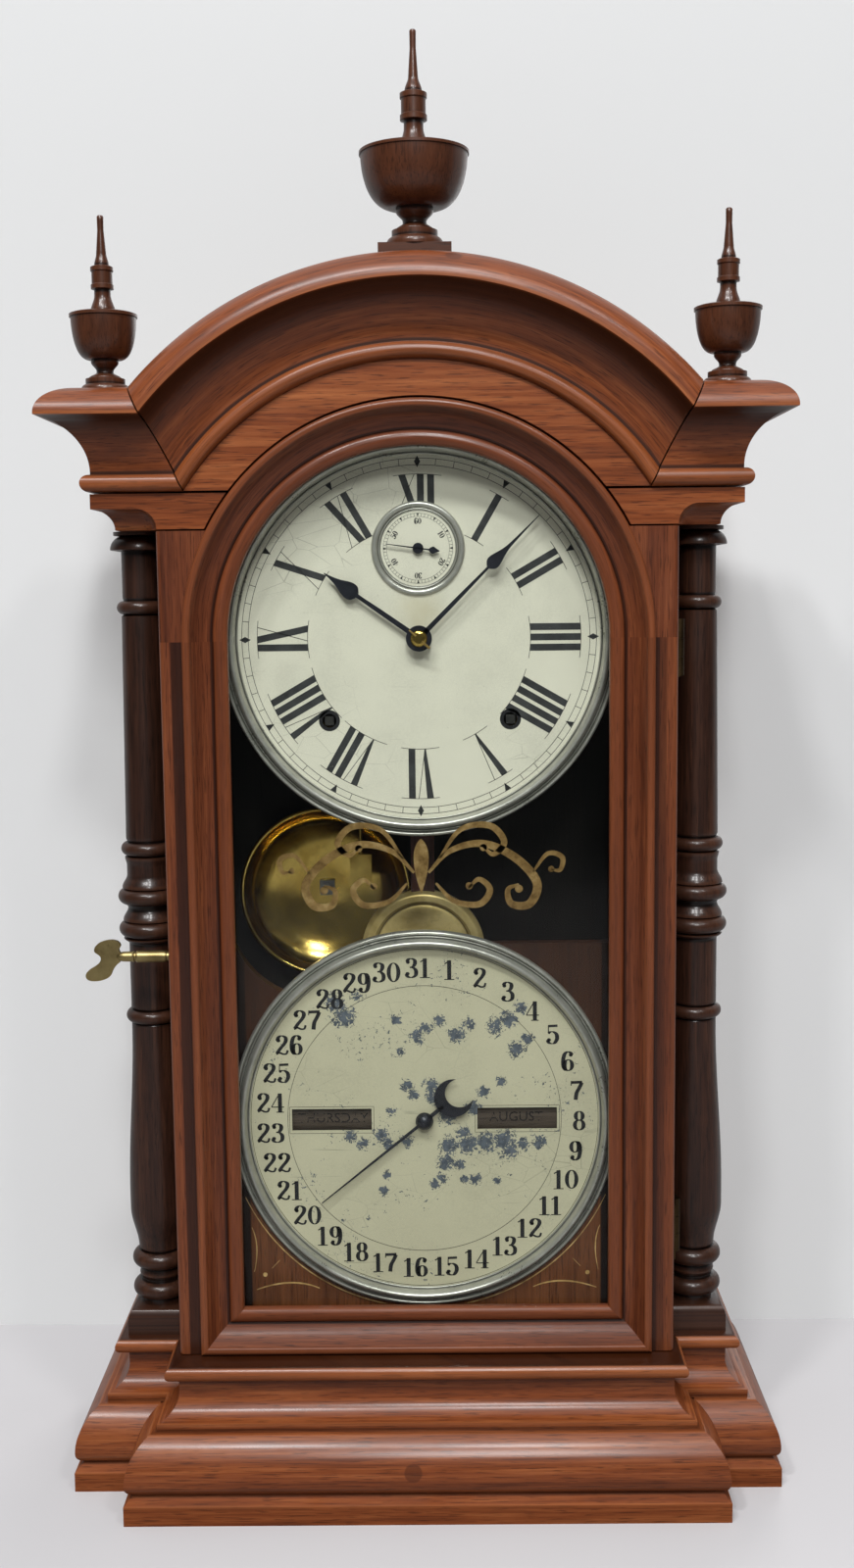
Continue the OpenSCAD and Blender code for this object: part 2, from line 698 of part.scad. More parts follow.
// Door mouldings: distance out from the glass opening against depth.
// A rounded lip, a slope and a hollow rise to the bead round the glass.
door_bead_r = 1.7;
lip_y = glass_y - 2.5;
lip_w = 0.34 * moulding_w;
lip_rise = 2.8;
cove_w = 0.61 * moulding_w;
cove_y = lip_y - 4.5;
cove_run = moulding_w - 2 * door_bead_r - cove_w;
rebate_w = glass_in + 1;
strip_w = 4.3;
strip_y = field_y + 3;
moulding_front = concat(
    [[0, glass_y]],
    [for (a = [0:15:90]) [lip_w * (1 - cos(a)), lip_y - lip_rise * sin(a)]],
    [for (a = [0:15:90]) [cove_w + cove_run * sin(a), cove_y - (cove_y - door_bead_r) * (1 - cos(a))]],
    arc(moulding_w - door_bead_r, door_bead_r, door_bead_r, 202.5, 360, 7)
);
moulding_section = concat(
    moulding_front, [[moulding_w, door_t], [rebate_w, door_t], [rebate_w, glass_y]]);
stile_section = concat(
    moulding_front,
    [[moulding_w, field_y], [stile_w - strip_w, field_y], [stile_w, strip_y], [stile_w, door_t],
     [rebate_w, door_t], [rebate_w, glass_y]]);
strip_section = [
    [moulding_w, field_y], [stile_w - strip_w, field_y], [stile_w, strip_y],
    [stile_w, door_t], [moulding_w, door_t]];
shoulder_z = spring_z + shoulder_rise;

// A section at the right-hand stile's place, as a plan drawing.
module stile_plan(section) {
    polygon([for (p = section) [open_half_w + p[0], yd(p[1])]]);
}
module door_stile_body() {
    difference() {
        union() {
            translate([0, 0, door_z]) linear_extrude(spring_z - door_z) stile_plan(stile_section);
            translate([0, 0, spring_z - eps]) linear_extrude(shoulder_rise + eps)
                stile_plan(strip_section);
            along_y(yd(field_y), yd(door_t)) difference() {
                translate([open_half_w, spring_z]) square([moulding_w + eps, shoulder_rise]);
                translate([0, spring_z]) circle(arch_r);
            }
        }
        along_y(-far, far) polygon([
            [open_half_w - 1, open_z + 1], [open_half_w - 1, door_z - 1],
            [open_half_w + moulding_w + 1, door_z - 1]]);
    }
}
spindle_end_x = hook_x - hook_t;
slot_drop = hook_r + 1;
module door_stile_left() {
    color(walnut) mirror([1, 0, 0]) difference() {
        door_stile_body();
        bar_x(yd(latch_y), latch_z, spindle_r + run_fit, spindle_end_x - 1, far);
        box([hook_x - pocket_w / 2, yd(latch_y - spindle_r - 2), latch_z - slot_drop],
            [hook_x + pocket_w / 2, yd(door_t) + 1, latch_z + pocket_rise]);
    }
}
module door_stile_right() {
    color(walnut) door_stile_body();
}
module door_arch() {
    color(walnut) intersection() {
        turn_y(0, spring_z) polygon([for (p = moulding_section) [open_half_w + p[0], yd(p[1])]]);
        box([-far, -far, spring_z], [far, far, far]);
    }
}
module door_bottom_rail() {
    color(walnut) intersection() {
        along_x(-far, far) polygon([for (p = moulding_section) [yd(p[1]), open_z - p[0]]]);
        along_y(-far, far) polygon([
            [open_half_w, open_z], [-open_half_w, open_z],
            [-open_half_w - moulding_w, door_z], [open_half_w + moulding_w, door_z]]);
    }
}
module door_glass() {
    half = open_half_w + glass_in;
    color("lightcyan", 0.3) along_y(yd(glass_y), yd(glass_y + glass_t)) union() {
        translate([-half, open_z - glass_in]) square([2 * half, spring_z - open_z + glass_in]);
        translate([0, spring_z]) circle(half);
    }
}

// Butt hinges: the door carries the middle knuckle, the case the outer two and the pin.
hinge_zs = [spring_z - hinge_top_drop, door_z + hinge_low_h];
hinge_x = door_half_w + knuckle_r + 0.5;
leaf_t = 1;
leaf_front = strip_y + 0.5;
leaf_back = hinge_y - knuckle_r - clear;
knuckle_gap = 0.3;
third = hinge_h / 3;
arm_in_x = door_half_w + leaf_t + clear;
arm_t = 1.2;
arm_front = door_t + 0.6;
case_leaf_l = 12;
module knuckle(z0, z1) {
    translate([hinge_x, yd(hinge_y), z0]) cylinder(r = knuckle_r, h = z1 - z0);
}
module door_hinge_leaves() {
    color(brass) for (z = hinge_zs) difference() {
        union() {
            box([door_half_w, yd(leaf_front), z - hinge_h / 2],
                [door_half_w + leaf_t, yd(leaf_back), z + hinge_h / 2]);
            box([door_half_w, yd(leaf_front), z - third / 2 + knuckle_gap],
                [door_half_w + leaf_t, yd(hinge_y), z + third / 2 - knuckle_gap]);
            knuckle(z - third / 2 + knuckle_gap, z + third / 2 - knuckle_gap);
        }
        translate([hinge_x, yd(hinge_y), z - hinge_h]) cylinder(r = hinge_pin_r + run_fit, h = 2 * hinge_h);
    }
}
module case_hinge_leaves() {
    color(brass) for (z = hinge_zs) union() {
        translate([hinge_x, yd(hinge_y), z - hinge_h / 2]) cylinder(r = hinge_pin_r, h = hinge_h);
        box([post_half_out, yd(arm_front), z - hinge_h / 2],
            [post_half_out + arm_t, yd(arm_front + case_leaf_l), z + hinge_h / 2]);
        for (s = [-1, 1]) {
            z0 = s < 0 ? z - hinge_h / 2 : z + third / 2;
            knuckle(z0, z0 + third);
            box([post_half_out, yd(arm_front), z0], [hinge_x + 1, yd(arm_front + arm_t), z0 + third]);
            box([arm_in_x, yd(hinge_y), z0], [hinge_x + 1, yd(arm_front + arm_t), z0 + third]);
        }
    }
}

// The latch key: a flat two-lobed bow on a round spindle, with a hook inside the stile.
tube_r = 3.35;
tube_in_x = door_half_w + 2;
tube_out_x = 160;
groove_w = 1;
neck_out_x = 170;
bow_x = 177;
bow_t = 2.2;
bow_waist = 9;
lobe_r = 4.6;
lobe_rise = 6.2;
lobe_run = 6;
hook_rest_a = -80;
hook_span_a = 45;
module hook() {
    hook_end_a = hook_rest_a + hook_span_a;
    x0 = hook_x - hook_t / 2;
    x1 = hook_x + hook_t / 2;
    along_x(x0, x1) translate([yd(latch_y), latch_z]) polygon(concat(
        arc(0, 0, hook_r, hook_rest_a, hook_end_a, 8),
        arc(0, 0, hook_r - hook_w, hook_end_a, hook_rest_a, 8)));
    along_x(x0, x1) translate([yd(latch_y), latch_z]) rotate(hook_rest_a)
        translate([0, -hook_w]) square([hook_r - hook_w / 2, hook_w + eps]);
}
module latch_key() {
    color(brass) mirror([1, 0, 0]) union() {
        bar_x(yd(latch_y), latch_z, spindle_r, spindle_end_x, neck_out_x);
        bar_x(yd(latch_y), latch_z, tube_r, tube_in_x, tube_out_x - groove_w);
        translate([tube_out_x, yd(latch_y), latch_z]) rotate([0, 90, 0])
            cylinder(r1 = tube_r, r2 = bow_t / 2, h = neck_out_x - tube_out_x);
        hook();
        bow_piece() translate([-bow_waist, -spindle_r]) square([bow_waist, 2 * spindle_r]);
        bow_piece() translate([-bow_waist / 2, -lobe_rise]) square([bow_waist, 2 * lobe_rise]);
        bow_lobe(-bow_waist / 2 - 1, lobe_rise - 1);
        bow_lobe(0, -lobe_rise - 3);
    }
}

// Part of the flat bow, drawn about the bow's middle.
module bow_piece() {
    along_y(yd(latch_y) - bow_t / 2, yd(latch_y) + bow_t / 2) translate([bow_x, latch_z]) children();
}
module bow_lobe(x, z) {
    bow_piece() translate([x, z]) circle(lobe_r);
    bow_piece() translate([x, z - lobe_r]) square([lobe_run, 2 * lobe_r]);
    bow_piece() translate([x + lobe_run, z]) circle(lobe_r);
}

// Dials and bezels.
bezel_in_r = dial_r - 3.2;
bezel_out_r = dial_r + bezel_flange;
bezel_lip = 1.2;
bezel_edge_r = 1.4;
dial_edge_gap = 0.2;
module dial_bezel(z, face_y, skirt) {
    color(nickel) turn_y(0, z) union() {
        translate([dial_r, yd(face_y) - bezel_lip - bezel_bead_r + 0.4]) circle(bezel_bead_r);
        translate([bezel_out_r - bezel_edge_r, yd(face_y) - bezel_lip]) circle(bezel_edge_r);
        translate([bezel_in_r, yd(face_y) - bezel_lip]) square([bezel_out_r - bezel_in_r, bezel_lip]);
        translate([dial_r + dial_edge_gap, yd(face_y) - bezel_lip])
            square([bezel_out_r - dial_r - dial_edge_gap, skirt + bezel_lip]);
    }
}
hour_pipe_r = centre_r + run_fit + 1.1;
dial_foot_r = 2;
dial_feet = [[58, 26], [-58, 26], [0, -76]];
module time_dial() {
    color(enamel) difference() {
        union() {
            bar_y(0, spring_z, dial_r, yd(time_dial_y), yd(time_dial_y + time_dial_t));
            for (f = dial_feet)
                bar_y(f[0], spring_z + f[1], dial_foot_r, yd(time_dial_y), yd(plate_y));
        }
        bar_y(0, spring_z, hour_pipe_r + 1, -far, far);
        bar_y(0, spring_z + seconds_rise, arbor_r + clear, -far, far);
        for (s = [-1, 1])
            bar_y(s * winding_x, spring_z - winding_drop, winding_hole_r, -far, far);
    }
}
module time_bezel() { dial_bezel(spring_z, time_dial_y, time_dial_t + 1); }
module seconds_bezel() {
    bead_r = 1.8;
    color(nickel) turn_y(0, spring_z + seconds_rise) intersection() {
        translate([seconds_bezel_r - bead_r, yd(time_dial_y)]) circle(bead_r);
        translate([0, yd(time_dial_y) - far]) square([far, far]);
    }
}
module calendar_dial() {
    color(enamel) difference() {
        bar_y(0, cal_z, dial_r, yd(cal_dial_y), yd(cal_dial_y + cal_dial_t));
        bar_y(0, cal_z, cal_arbor_r + clear, -far, far);
        for (x = [-window_out, window_in])
            box([x, -far, cal_z - window_h / 2], [x + window_out - window_in, far, cal_z + window_h / 2]);
    }
}
module calendar_bezel() { dial_bezel(cal_z, cal_dial_y, cal_dial_t); }

// Calendar board, and the frame that carries rollers and date arbor behind it.
board_gap = 0.2;
cal_back_y = cal_dial_y + cal_dial_t;
bar_low = month_r + 3.5;
bar_high = bar_low + 9;
frame_t = 2.5;
cheek_t = 2;
cheek_in = window_in - 2.5;
cheek_out = window_out + 3.5;
frame_half_w = 108;
bridge_y = cal_back_y + 14;
day_y = cal_back_y + roller_gap + day_r;
month_y = cal_back_y + roller_gap + month_r;
module calendar_board() {
    color(walnut) difference() {
        box([-post_half_in + board_gap, yd(cal_back_y), base_h],
            [post_half_in - board_gap, yd(cal_back_y + cal_board_t), cal_z + cal_board_rise]);
        bar_y(0, cal_z, cal_hole_r, -far, far);
        bar_y(-bell_x, bell_z, bell_r + bell_notch, -far, far);
    }
}
module calendar_frame() {
    bar_y0 = yd(cal_back_y + cal_board_t);
    color(brass) difference() {
        union() {
            for (s = [-1, 1])
                box([-frame_half_w, bar_y0, cal_z + (s > 0 ? bar_low : -bar_high)],
                    [frame_half_w, bar_y0 + frame_t, cal_z + (s > 0 ? bar_high : -bar_low)]);
            for (x = [-cheek_out, -cheek_in, cheek_in - cheek_t, cheek_out - cheek_t])
                box([x, bar_y0, cal_z - bar_high], [x + cheek_t, yd(month_y) + 6, cal_z + bar_high]);
            box([-cheek_in, yd(bridge_y), cal_z - 12], [cheek_in, yd(bridge_y) + frame_t, cal_z + 12]);
        }
        bar_y(0, cal_z, cal_arbor_r + run_fit, -far, far);
        bar_x(yd(day_y), cal_z, cal_arbor_r + run_fit, -far, 0);
        bar_x(yd(month_y), cal_z, cal_arbor_r + run_fit, 0, far);
    }
}
roller_end = 0.5;
module roller(x0, r, y) {
    drum_x = x0 + roller_end;
    drum_l = cheek_out - cheek_in - cheek_t - 2 * roller_end;
    color(steel) union() {
        difference() {
            bar_x(yd(y), cal_z, r, drum_x, drum_x + drum_l);
            bar_x(yd(y), cal_z, r - roller_wall, drum_x + roller_wall, drum_x + drum_l - roller_wall);
        }
        bar_x(yd(y), cal_z, cal_arbor_r, x0 - cheek_t, x0 + cheek_out - cheek_in);
    }
}
module day_roller() { roller(cheek_t - cheek_out, day_r, day_y); }
module month_roller() { roller(cheek_in, month_r, month_y); }

// A hand lying along +X: stem, spade and point as half widths against length.
module hand_outline(stem, point) {
    upper = concat(stem, point);
    polygon(concat(upper, [for (p = flip(upper)) [p[0], -p[1]]]));
}

// Stands a flat drawing on a dial, turned to a clock angle, with its front at depth y.
module on_dial(z, clock_a, y) {
    along_y(yd(y), yd(y + hand_t)) translate([0, z]) rotate(90 - clock_a) children();
}
minute_a = 45;
hour_a = 305;
date_a = 231;
seconds_a = 278;
hour_hand_y = time_dial_y - 4.6;
minute_hand_y = hour_hand_y - 3;
hand_hub_r = 7.2;
hand_tip_w = 0.25;
stem_w = 2.8;
minute_spade_at = 0.62 * minute_l;
minute_spade_w = 7.4;
hour_spade_at = 0.73 * hour_l;
hour_spade_w = 9.4;
module spade_hand(length, spade_at, spade_w, stem_w) {
    hand_outline(
        concat([[0, stem_w / 2]], arc(spade_at, 0, spade_w / 2, 160, 90, 6)),
        [[spade_at + spade_w, spade_w / 3.4], [spade_at + 1.8 * spade_w, spade_w / 9],
         [length, hand_tip_w]]);
}
module minute_hand() {
    color(blued) difference() {
        union() {
            on_dial(spring_z, minute_a, minute_hand_y)
                spade_hand(minute_l, minute_spade_at, minute_spade_w, stem_w);
            on_dial(spring_z, minute_a, minute_hand_y) circle(hand_hub_r);
        }
        bar_y(0, spring_z, centre_r, -far, far);
    }
}
module hour_hand() {
    color(blued) difference() {
        union() {
            on_dial(spring_z, hour_a, hour_hand_y)
                spade_hand(hour_l, hour_spade_at, hour_spade_w, stem_w);
            on_dial(spring_z, hour_a, hour_hand_y) circle(hand_hub_r - 0.6);
        }
        bar_y(0, spring_z, hour_pipe_r, -far, far);
    }
}

// Train wheels: straight-flanked teeth of module m, phase in degrees, and lantern pinions.
tip_add = 0.95;
root_cut = 1.35;
tooth_root = 0.42;
tooth_tip = 0.16;
function tooth_ring(teeth, m, phase) = [
    for (i = [0:teeth - 1])
        let (r = teeth * m / 2, pitch = 360 / teeth, a = phase + i * pitch)
        for (p = [[r - root_cut * m, -tooth_root], [r, -0.2], [r + tip_add * m, -tooth_tip / 2],
                  [r + tip_add * m, tooth_tip / 2], [r, 0.2], [r - root_cut * m, tooth_root]])
            [p[0] * cos(a + p[1] * pitch), p[0] * sin(a + p[1] * pitch)]];
module wheel_plan(teeth, m, phase) {
    polygon(tooth_ring(teeth, m, phase));
}
spokes = 4;
spoke_w = 2.6;

// What is cut from a wheel to leave its spokes between hub and rim.
module spoke_windows(rim_in, hub) {
    difference() {
        circle(rim_in);
        circle(hub);
        for (i = [0:spokes - 1])
            rotate(45 + i * 360 / spokes) translate([0, -spoke_w / 2]) square([rim_in + 1, spoke_w]);
    }
}
module spoked_wheel(teeth, m, phase, hub) {
    difference() {
        wheel_plan(teeth, m, phase);
        spoke_windows(teeth * m / 2 - 4 * m, hub);
    }
}
trundle_r = 0.5;
trundles = 8;
module lantern(x, z, r, phase, y0, y1) {
    for (i = [0:trundles - 1])
        bar_y(x + r * cos(phase + i * 360 / trundles), z + r * sin(phase + i * 360 / trundles),
              trundle_r, y0, y1);
    for (y = [y0, y1 - 0.8]) bar_y(x, z, r + trundle_r + 0.4, y, y + 0.8);
}

// Where the third corner of a triangle lies, given sides from a and from b.
function meet(a, b, ra, rb, side) =
    let (d = norm(b - a), u = (b - a) / d, k = (ra * ra - rb * rb + d * d) / (2 * d),
         h = sqrt(max(0, ra * ra - k * k)))
    a + u * k + [-u[1], u[0]] * h * side;
function bearing(a, b) = atan2(b[1] - a[1], b[0] - a[0]);

centre_at = [0, spring_z];
seconds_at = [0, spring_z + seconds_rise];
time_at = [winding_x, spring_z - winding_drop];
strike_at = [-winding_x, spring_z - winding_drop];
pivot_at = [0, spring_z + pivot_rise];
great_teeth = 72;
second_teeth = 64;
centre_teeth = 64;
third_teeth = 60;
train_m = 0.9;
centre_m = 0.8;
third_m = 0.7;
function pinion_pitch_r(m) = trundles * m / 2;
second_at = meet(time_at, centre_at, great_teeth * train_m / 2 + pinion_pitch_r(train_m),
                 second_teeth * train_m / 2 + pinion_pitch_r(train_m), 1);
third_at = meet(centre_at, seconds_at, centre_teeth * centre_m / 2 + pinion_pitch_r(centre_m),
                third_teeth * third_m / 2 + pinion_pitch_r(third_m), -1);
great_y = plate_y + plate_t + 2.4;
second_y = great_y + 6;
centre_wheel_y = second_y + 5;
third_y = centre_wheel_y + 5;
escape_y = third_y + 5;
back_plate_y = plate_y + plate_t + plate_space;
back_plate_end = back_plate_y + plate_t;
arbor_over = 0.5;

// Motion work between dial and front plate.
cannon_teeth = 12;
minute_teeth = 36;
cannon_m = 0.75;
minute_pinion_teeth = 10;
hour_teeth = 40;
hour_m = 0.72;
motion_gap = 18;
stud_at = centre_at - [0, motion_gap];
minute_wheel_y = plate_y - 2.4;
hour_wheel_y = minute_wheel_y - 3.8;
stud_r = 1.5;

// An arbor that runs through both plates.
module arbor(at, r) {
    bar_y(at[0], at[1], r, yd(plate_y - arbor_over), yd(back_plate_end + arbor_over));
}
module toothed(at, teeth, m, phase, y, hub) {
    along_y(yd(y), yd(y + wheel_t)) translate(at) spoked_wheel(teeth, m, phase, hub);
}

// The pinion phase puts a gap on the line of centres, where the wheel has a tooth.
half_trundle = 180 / trundles;
pinion_over = 0.8;
centre_sleeve = 0.5;
centre_hub_r = 5;
washer_r = 4.6;
washer_t = 1.2;
arbor_out = 4;
cannon_end = 0.3;

// The centre arbor carries the minute hand and the cannon pinion.
module centre_arbor() {
    color(brass) union() {
        bar_y(0, spring_z, centre_r, yd(minute_hand_y - arbor_out), yd(back_plate_end + arbor_over));
        bar_y(0, spring_z, washer_r, yd(minute_hand_y - washer_t), yd(minute_hand_y));
        along_y(yd(minute_wheel_y - clear), yd(plate_y - cannon_end)) translate(centre_at)
            wheel_plan(cannon_teeth, cannon_m, -90);
    }
}

// The centre wheel and its pinion turn the arbor through a slipping fit.
module centre_wheel() {
    to_third = bearing(centre_at, third_at);
    to_second = bearing(centre_at, second_at);
    color(brass) difference() {
        union() {
            lantern(0, spring_z, pinion_pitch_r(train_m), to_second + half_trundle,
                    yd(second_y - pinion_over), yd(second_y + wheel_t + pinion_over));
            bar_y(0, spring_z, centre_r + centre_sleeve, yd(second_y - pinion_over),
                  yd(centre_wheel_y + wheel_t));
            toothed(centre_at, centre_teeth, centre_m, to_third, centre_wheel_y, centre_hub_r);
        }
        bar_y(0, spring_z, centre_r + run_fit, -far, far);
    }
}
module hour_wheel() {
    color(brass) difference() {
        union() {
            bar_y(0, spring_z, hour_pipe_r, yd(hour_hand_y - 0.8), yd(hour_wheel_y + wheel_t));
            along_y(yd(hour_wheel_y), yd(hour_wheel_y + wheel_t)) translate(centre_at)
                wheel_plan(hour_teeth, hour_m, -90);
        }
        bar_y(0, spring_z, centre_r + run_fit, -far, far);
    }
}
module minute_wheel() {
    color(brass) difference() {
        union() {
            along_y(yd(minute_wheel_y), yd(minute_wheel_y + wheel_t)) translate(stud_at)
                wheel_plan(minute_teeth, cannon_m, 90 + 180 / minute_teeth);
            along_y(yd(hour_wheel_y - 0.4), yd(minute_wheel_y)) translate(stud_at)
                wheel_plan(minute_pinion_teeth, hour_m, 90 + 180 / minute_pinion_teeth);
        }
        bar_y(stud_at[0], stud_at[1], stud_r + run_fit, -far, far);
    }
}
module second_wheel() {
    to_time = bearing(second_at, time_at);
    color(brass) union() {
        arbor(second_at, arbor_r);
        lantern(second_at[0], second_at[1], pinion_pitch_r(train_m), to_time + half_trundle,
                yd(great_y - pinion_over), yd(great_y + wheel_t + pinion_over));
        toothed(second_at, second_teeth, train_m, bearing(second_at, centre_at), second_y, 4);
    }
}
module third_wheel() {
    to_centre = bearing(third_at, centre_at);
    color(brass) union() {
        arbor(third_at, arbor_r);
        lantern(third_at[0], third_at[1], pinion_pitch_r(centre_m), to_centre + half_trundle,
                yd(centre_wheel_y - pinion_over), yd(centre_wheel_y + wheel_t + pinion_over));
        toothed(third_at, third_teeth, third_m, bearing(third_at, seconds_at), third_y, 4);
    }
}
module time_great_wheel() {
    color(brass) difference() {
        toothed(time_at, great_teeth, train_m, bearing(time_at, second_at), great_y, 8);
        bar_y(time_at[0], time_at[1], winding_r + run_fit, -far, far);
    }
}

// Winding arbors: a squared front end, a ratchet wheel and the coiled spring's drum.
square_w = 1.25 * winding_r;
square_front = time_dial_y - 0.6;
drum_r = 15;
ratchet_teeth = 24;
module winding_arbor(at) {
    color(steel) union() {
        bar_y(at[0], at[1], winding_r, yd(plate_y - arbor_over), yd(back_plate_end + arbor_over));
        box([at[0] - square_w / 2, yd(square_front), at[1] - square_w / 2],
            [at[0] + square_w / 2, yd(plate_y), at[1] + square_w / 2]);
        along_y(yd(great_y + wheel_t + clear), yd(great_y + wheel_t + clear) + 1.2) translate(at)
            wheel_plan(ratchet_teeth, 1, 0);
        bar_y(at[0], at[1], drum_r, yd(escape_y - 6), yd(back_plate_y - 3));
    }
}
module time_arbor() { winding_arbor(time_at); }
module strike_arbor() {
    winding_arbor(strike_at);
    color(brass) difference() {
        toothed(strike_at, great_teeth, train_m, 0, great_y, 8);
        bar_y(strike_at[0], strike_at[1], winding_r, -far, far);
    }
}

// Escape wheel on the seconds arbor, with the seconds hand at its front end.
escape_teeth = 60;
arbor_hub_r = 4;
escape_tooth = 2;
module escape_wheel() {
    to_third = bearing(seconds_at, third_at);
    points = [for (i = [0:escape_teeth - 1])
        let (pitch = 360 / escape_teeth, root_r = escape_r - escape_tooth, back = pitch / 3)
        each [[escape_r * cos(pitch * i), escape_r * sin(pitch * i)],
              [root_r * cos(pitch * i + back), root_r * sin(pitch * i + back)]]];
    color(brass) union() {
        bar_y(0, seconds_at[1], arbor_r, yd(time_dial_y - 2.2), yd(back_plate_end + arbor_over));
        lantern(0, seconds_at[1], pinion_pitch_r(third_m), to_third + half_trundle,
                yd(third_y - pinion_over), yd(third_y + wheel_t + pinion_over));
        along_y(yd(escape_y), yd(escape_y + wheel_t)) translate(seconds_at) difference() {
            polygon(points);
            spoke_windows(escape_r - 3 * escape_tooth, arbor_hub_r);
        }
    }
}
seconds_hand_y = time_dial_y - 2.6;
seconds_hub_r = 3;
pointer_w = 0.5;
tail_l = 12;
tail_w = 2.2;
module seconds_hand() {
    color(blued) difference() {
        union() {
            on_dial(seconds_at[1], seconds_a, seconds_hand_y)
                hand_outline([[0, pointer_w]], [[seconds_l, pointer_w / 2]]);
            on_dial(seconds_at[1], seconds_a + 180, seconds_hand_y)
                hand_outline([[0, pointer_w], [0.5 * tail_l, pointer_w]],
                             [[0.75 * tail_l, tail_w], [tail_l, pointer_w / 2]]);
            on_dial(seconds_at[1], seconds_a, seconds_hand_y) circle(seconds_hub_r);
        }
        bar_y(0, seconds_at[1], arbor_r, -far, far);
    }
}

// Plates, pillars and posts.
plate_half_w = 68;
plate_low = 80;
plate_high = 82;
plate_corner = 34;
pillars_at = [[62, 4], [-62, 4], [50, 73], [-50, 73], [0, -70]];
hammer_at = [-38, spring_z + 10];
module plate_plan() {
    translate([0, spring_z]) polygon([
        [plate_half_w, plate_high], [-plate_half_w, plate_high], [-plate_half_w, plate_corner - plate_low],
        [plate_corner - plate_half_w, -plate_low], [plate_half_w - plate_corner, -plate_low],
        [plate_half_w, plate_corner - plate_low]]);
}
module arbor_holes() {
    bar_y(0, spring_z, centre_r + run_fit, -far, far);
    for (at = [time_at, strike_at]) bar_y(at[0], at[1], winding_r + run_fit, -far, far);
    for (at = [second_at, third_at, seconds_at, pivot_at, hammer_at])
        bar_y(at[0], at[1], arbor_r + run_fit, -far, far);
}
module front_plate() {
    color(brass) difference() {
        union() {
            along_y(yd(plate_y), yd(plate_y + plate_t)) plate_plan();
            bar_y(stud_at[0], stud_at[1], stud_r, yd(hour_wheel_y - 1), yd(plate_y) + eps);
        }
        arbor_holes();
    }
}

// The back plate also carries the cock and pin from which the pendulum hangs.
cock_half_w = 6;
cock_t = 3;
cock_rise = 6;
eye_r = 4;
eye_half = 2;
cock_y = pendulum_y + eye_half + 1;
hang_r = 1.5;
module back_plate() {
    z = pivot_at[1];
    color(brass) union() {
        difference() {
            along_y(yd(back_plate_y), yd(back_plate_end)) plate_plan();
            arbor_holes();
        }
        box([-cock_half_w, yd(back_plate_end) - eps, z + cock_rise],
            [cock_half_w, yd(cock_y + cock_t), z + cock_rise + cock_t]);
        box([-cock_half_w, yd(cock_y), z - eye_r],
            [cock_half_w, yd(cock_y + cock_t), z + cock_rise + cock_t]);
        bar_y(0, z, hang_r, yd(pendulum_y - eye_half - 0.4), yd(cock_y) + eps);
    }
}

// Five pillars hold the plates apart, and four posts hold them to the back board.
posts = 4;
module movement_pillars() {
    color(brass) for (p = pillars_at)
        bar_y(p[0], spring_z + p[1], pillar_r, yd(plate_y + plate_t), yd(back_plate_y));
    color(brass) for (i = [0:posts - 1])
        bar_y(pillars_at[i][0], spring_z + pillars_at[i][1], post_r, yd(back_plate_end), back_in_y);
}

// Verge: anchor over the escape wheel, with a forked crutch round the pendulum rod.
pallet_a = 35;
pallet_gap = 1.3;
pallet_r = escape_r + pallet_gap;
crutch_y = back_plate_end + 1.2;
crutch_t = 2;
crutch_drop = 64;
fork_t = 1.2;
module verge() {
    pallet = [pallet_r * sin(pallet_a), seconds_rise + pallet_r * cos(pallet_a) - pivot_rise];
    z = pivot_at[1];
    fork_in = rod_w / 2 + clear;
    color(steel) union() {
        bar_y(0, z, arbor_r, yd(plate_y - arbor_over), yd(crutch_y + crutch_t));
        along_y(yd(escape_y), yd(escape_y + wheel_t)) translate(pivot_at) for (s = [-1, 1])
            polygon([[0, 3], [s * (pallet[0] + 3), pallet[1] + 4], [s * (pallet[0] + 2.4), pallet[1] - 0.2],
                     [s * pallet[0], pallet[1]], [s * (pallet[0] - 1), pallet[1] + 3.4], [0, -2.4]]);
        box([-fork_in - fork_t, yd(crutch_y), z - crutch_drop - 3],
            [fork_in + fork_t, yd(crutch_y + crutch_t), z - crutch_drop]);
        box([-1.2, yd(crutch_y), z - crutch_drop], [1.2, yd(crutch_y + crutch_t), z]);
        for (x = [-fork_in - fork_t, fork_in])
            box([x, yd(crutch_y), z - crutch_drop - 3],
                [x + fork_t, yd(pendulum_y + rod_t / 2), z - crutch_drop]);
    }
}

// Pendulum: hanging eye, flat spring and wooden rod in one, with the bob on the rating nut.
rod_top_drop = 22;
spring_half_w = 2.5;
spring_half_t = 0.4;
bob_z = spring_z - bob_drop;
rod_low_z = bob_z - 0.75 * bob_r;
nut_r = 6;
nut_h = 5;
nut_wire_r = 1.5;
nut_z = bob_z - bob_r - nut_h;
module pendulum_rod() {
    z = pivot_at[1];
    color("firebrick") union() {
        difference() {
            bar_y(0, z, eye_r, yd(pendulum_y - eye_half), yd(pendulum_y + eye_half));
            bar_y(0, z, hang_r + run_fit, -far, far);
        }
        box([-spring_half_w, yd(pendulum_y - spring_half_t), z - rod_top_drop - 1],
            [spring_half_w, yd(pendulum_y + spring_half_t), z - eye_r + 0.8]);
        box([-rod_w / 2, yd(pendulum_y - rod_t / 2), rod_low_z],
            [rod_w / 2, yd(pendulum_y + rod_t / 2), z - rod_top_drop]);
        translate([0, yd(pendulum_y), nut_z - 3]) cylinder(r = nut_wire_r, h = rod_low_z - nut_z + 3 + eps);
    }
}
slot_gap = 0.1;
bob_dish_r = bob_r - 8.5;
bob_sag = 2.2;
bob_edge_t = 4;

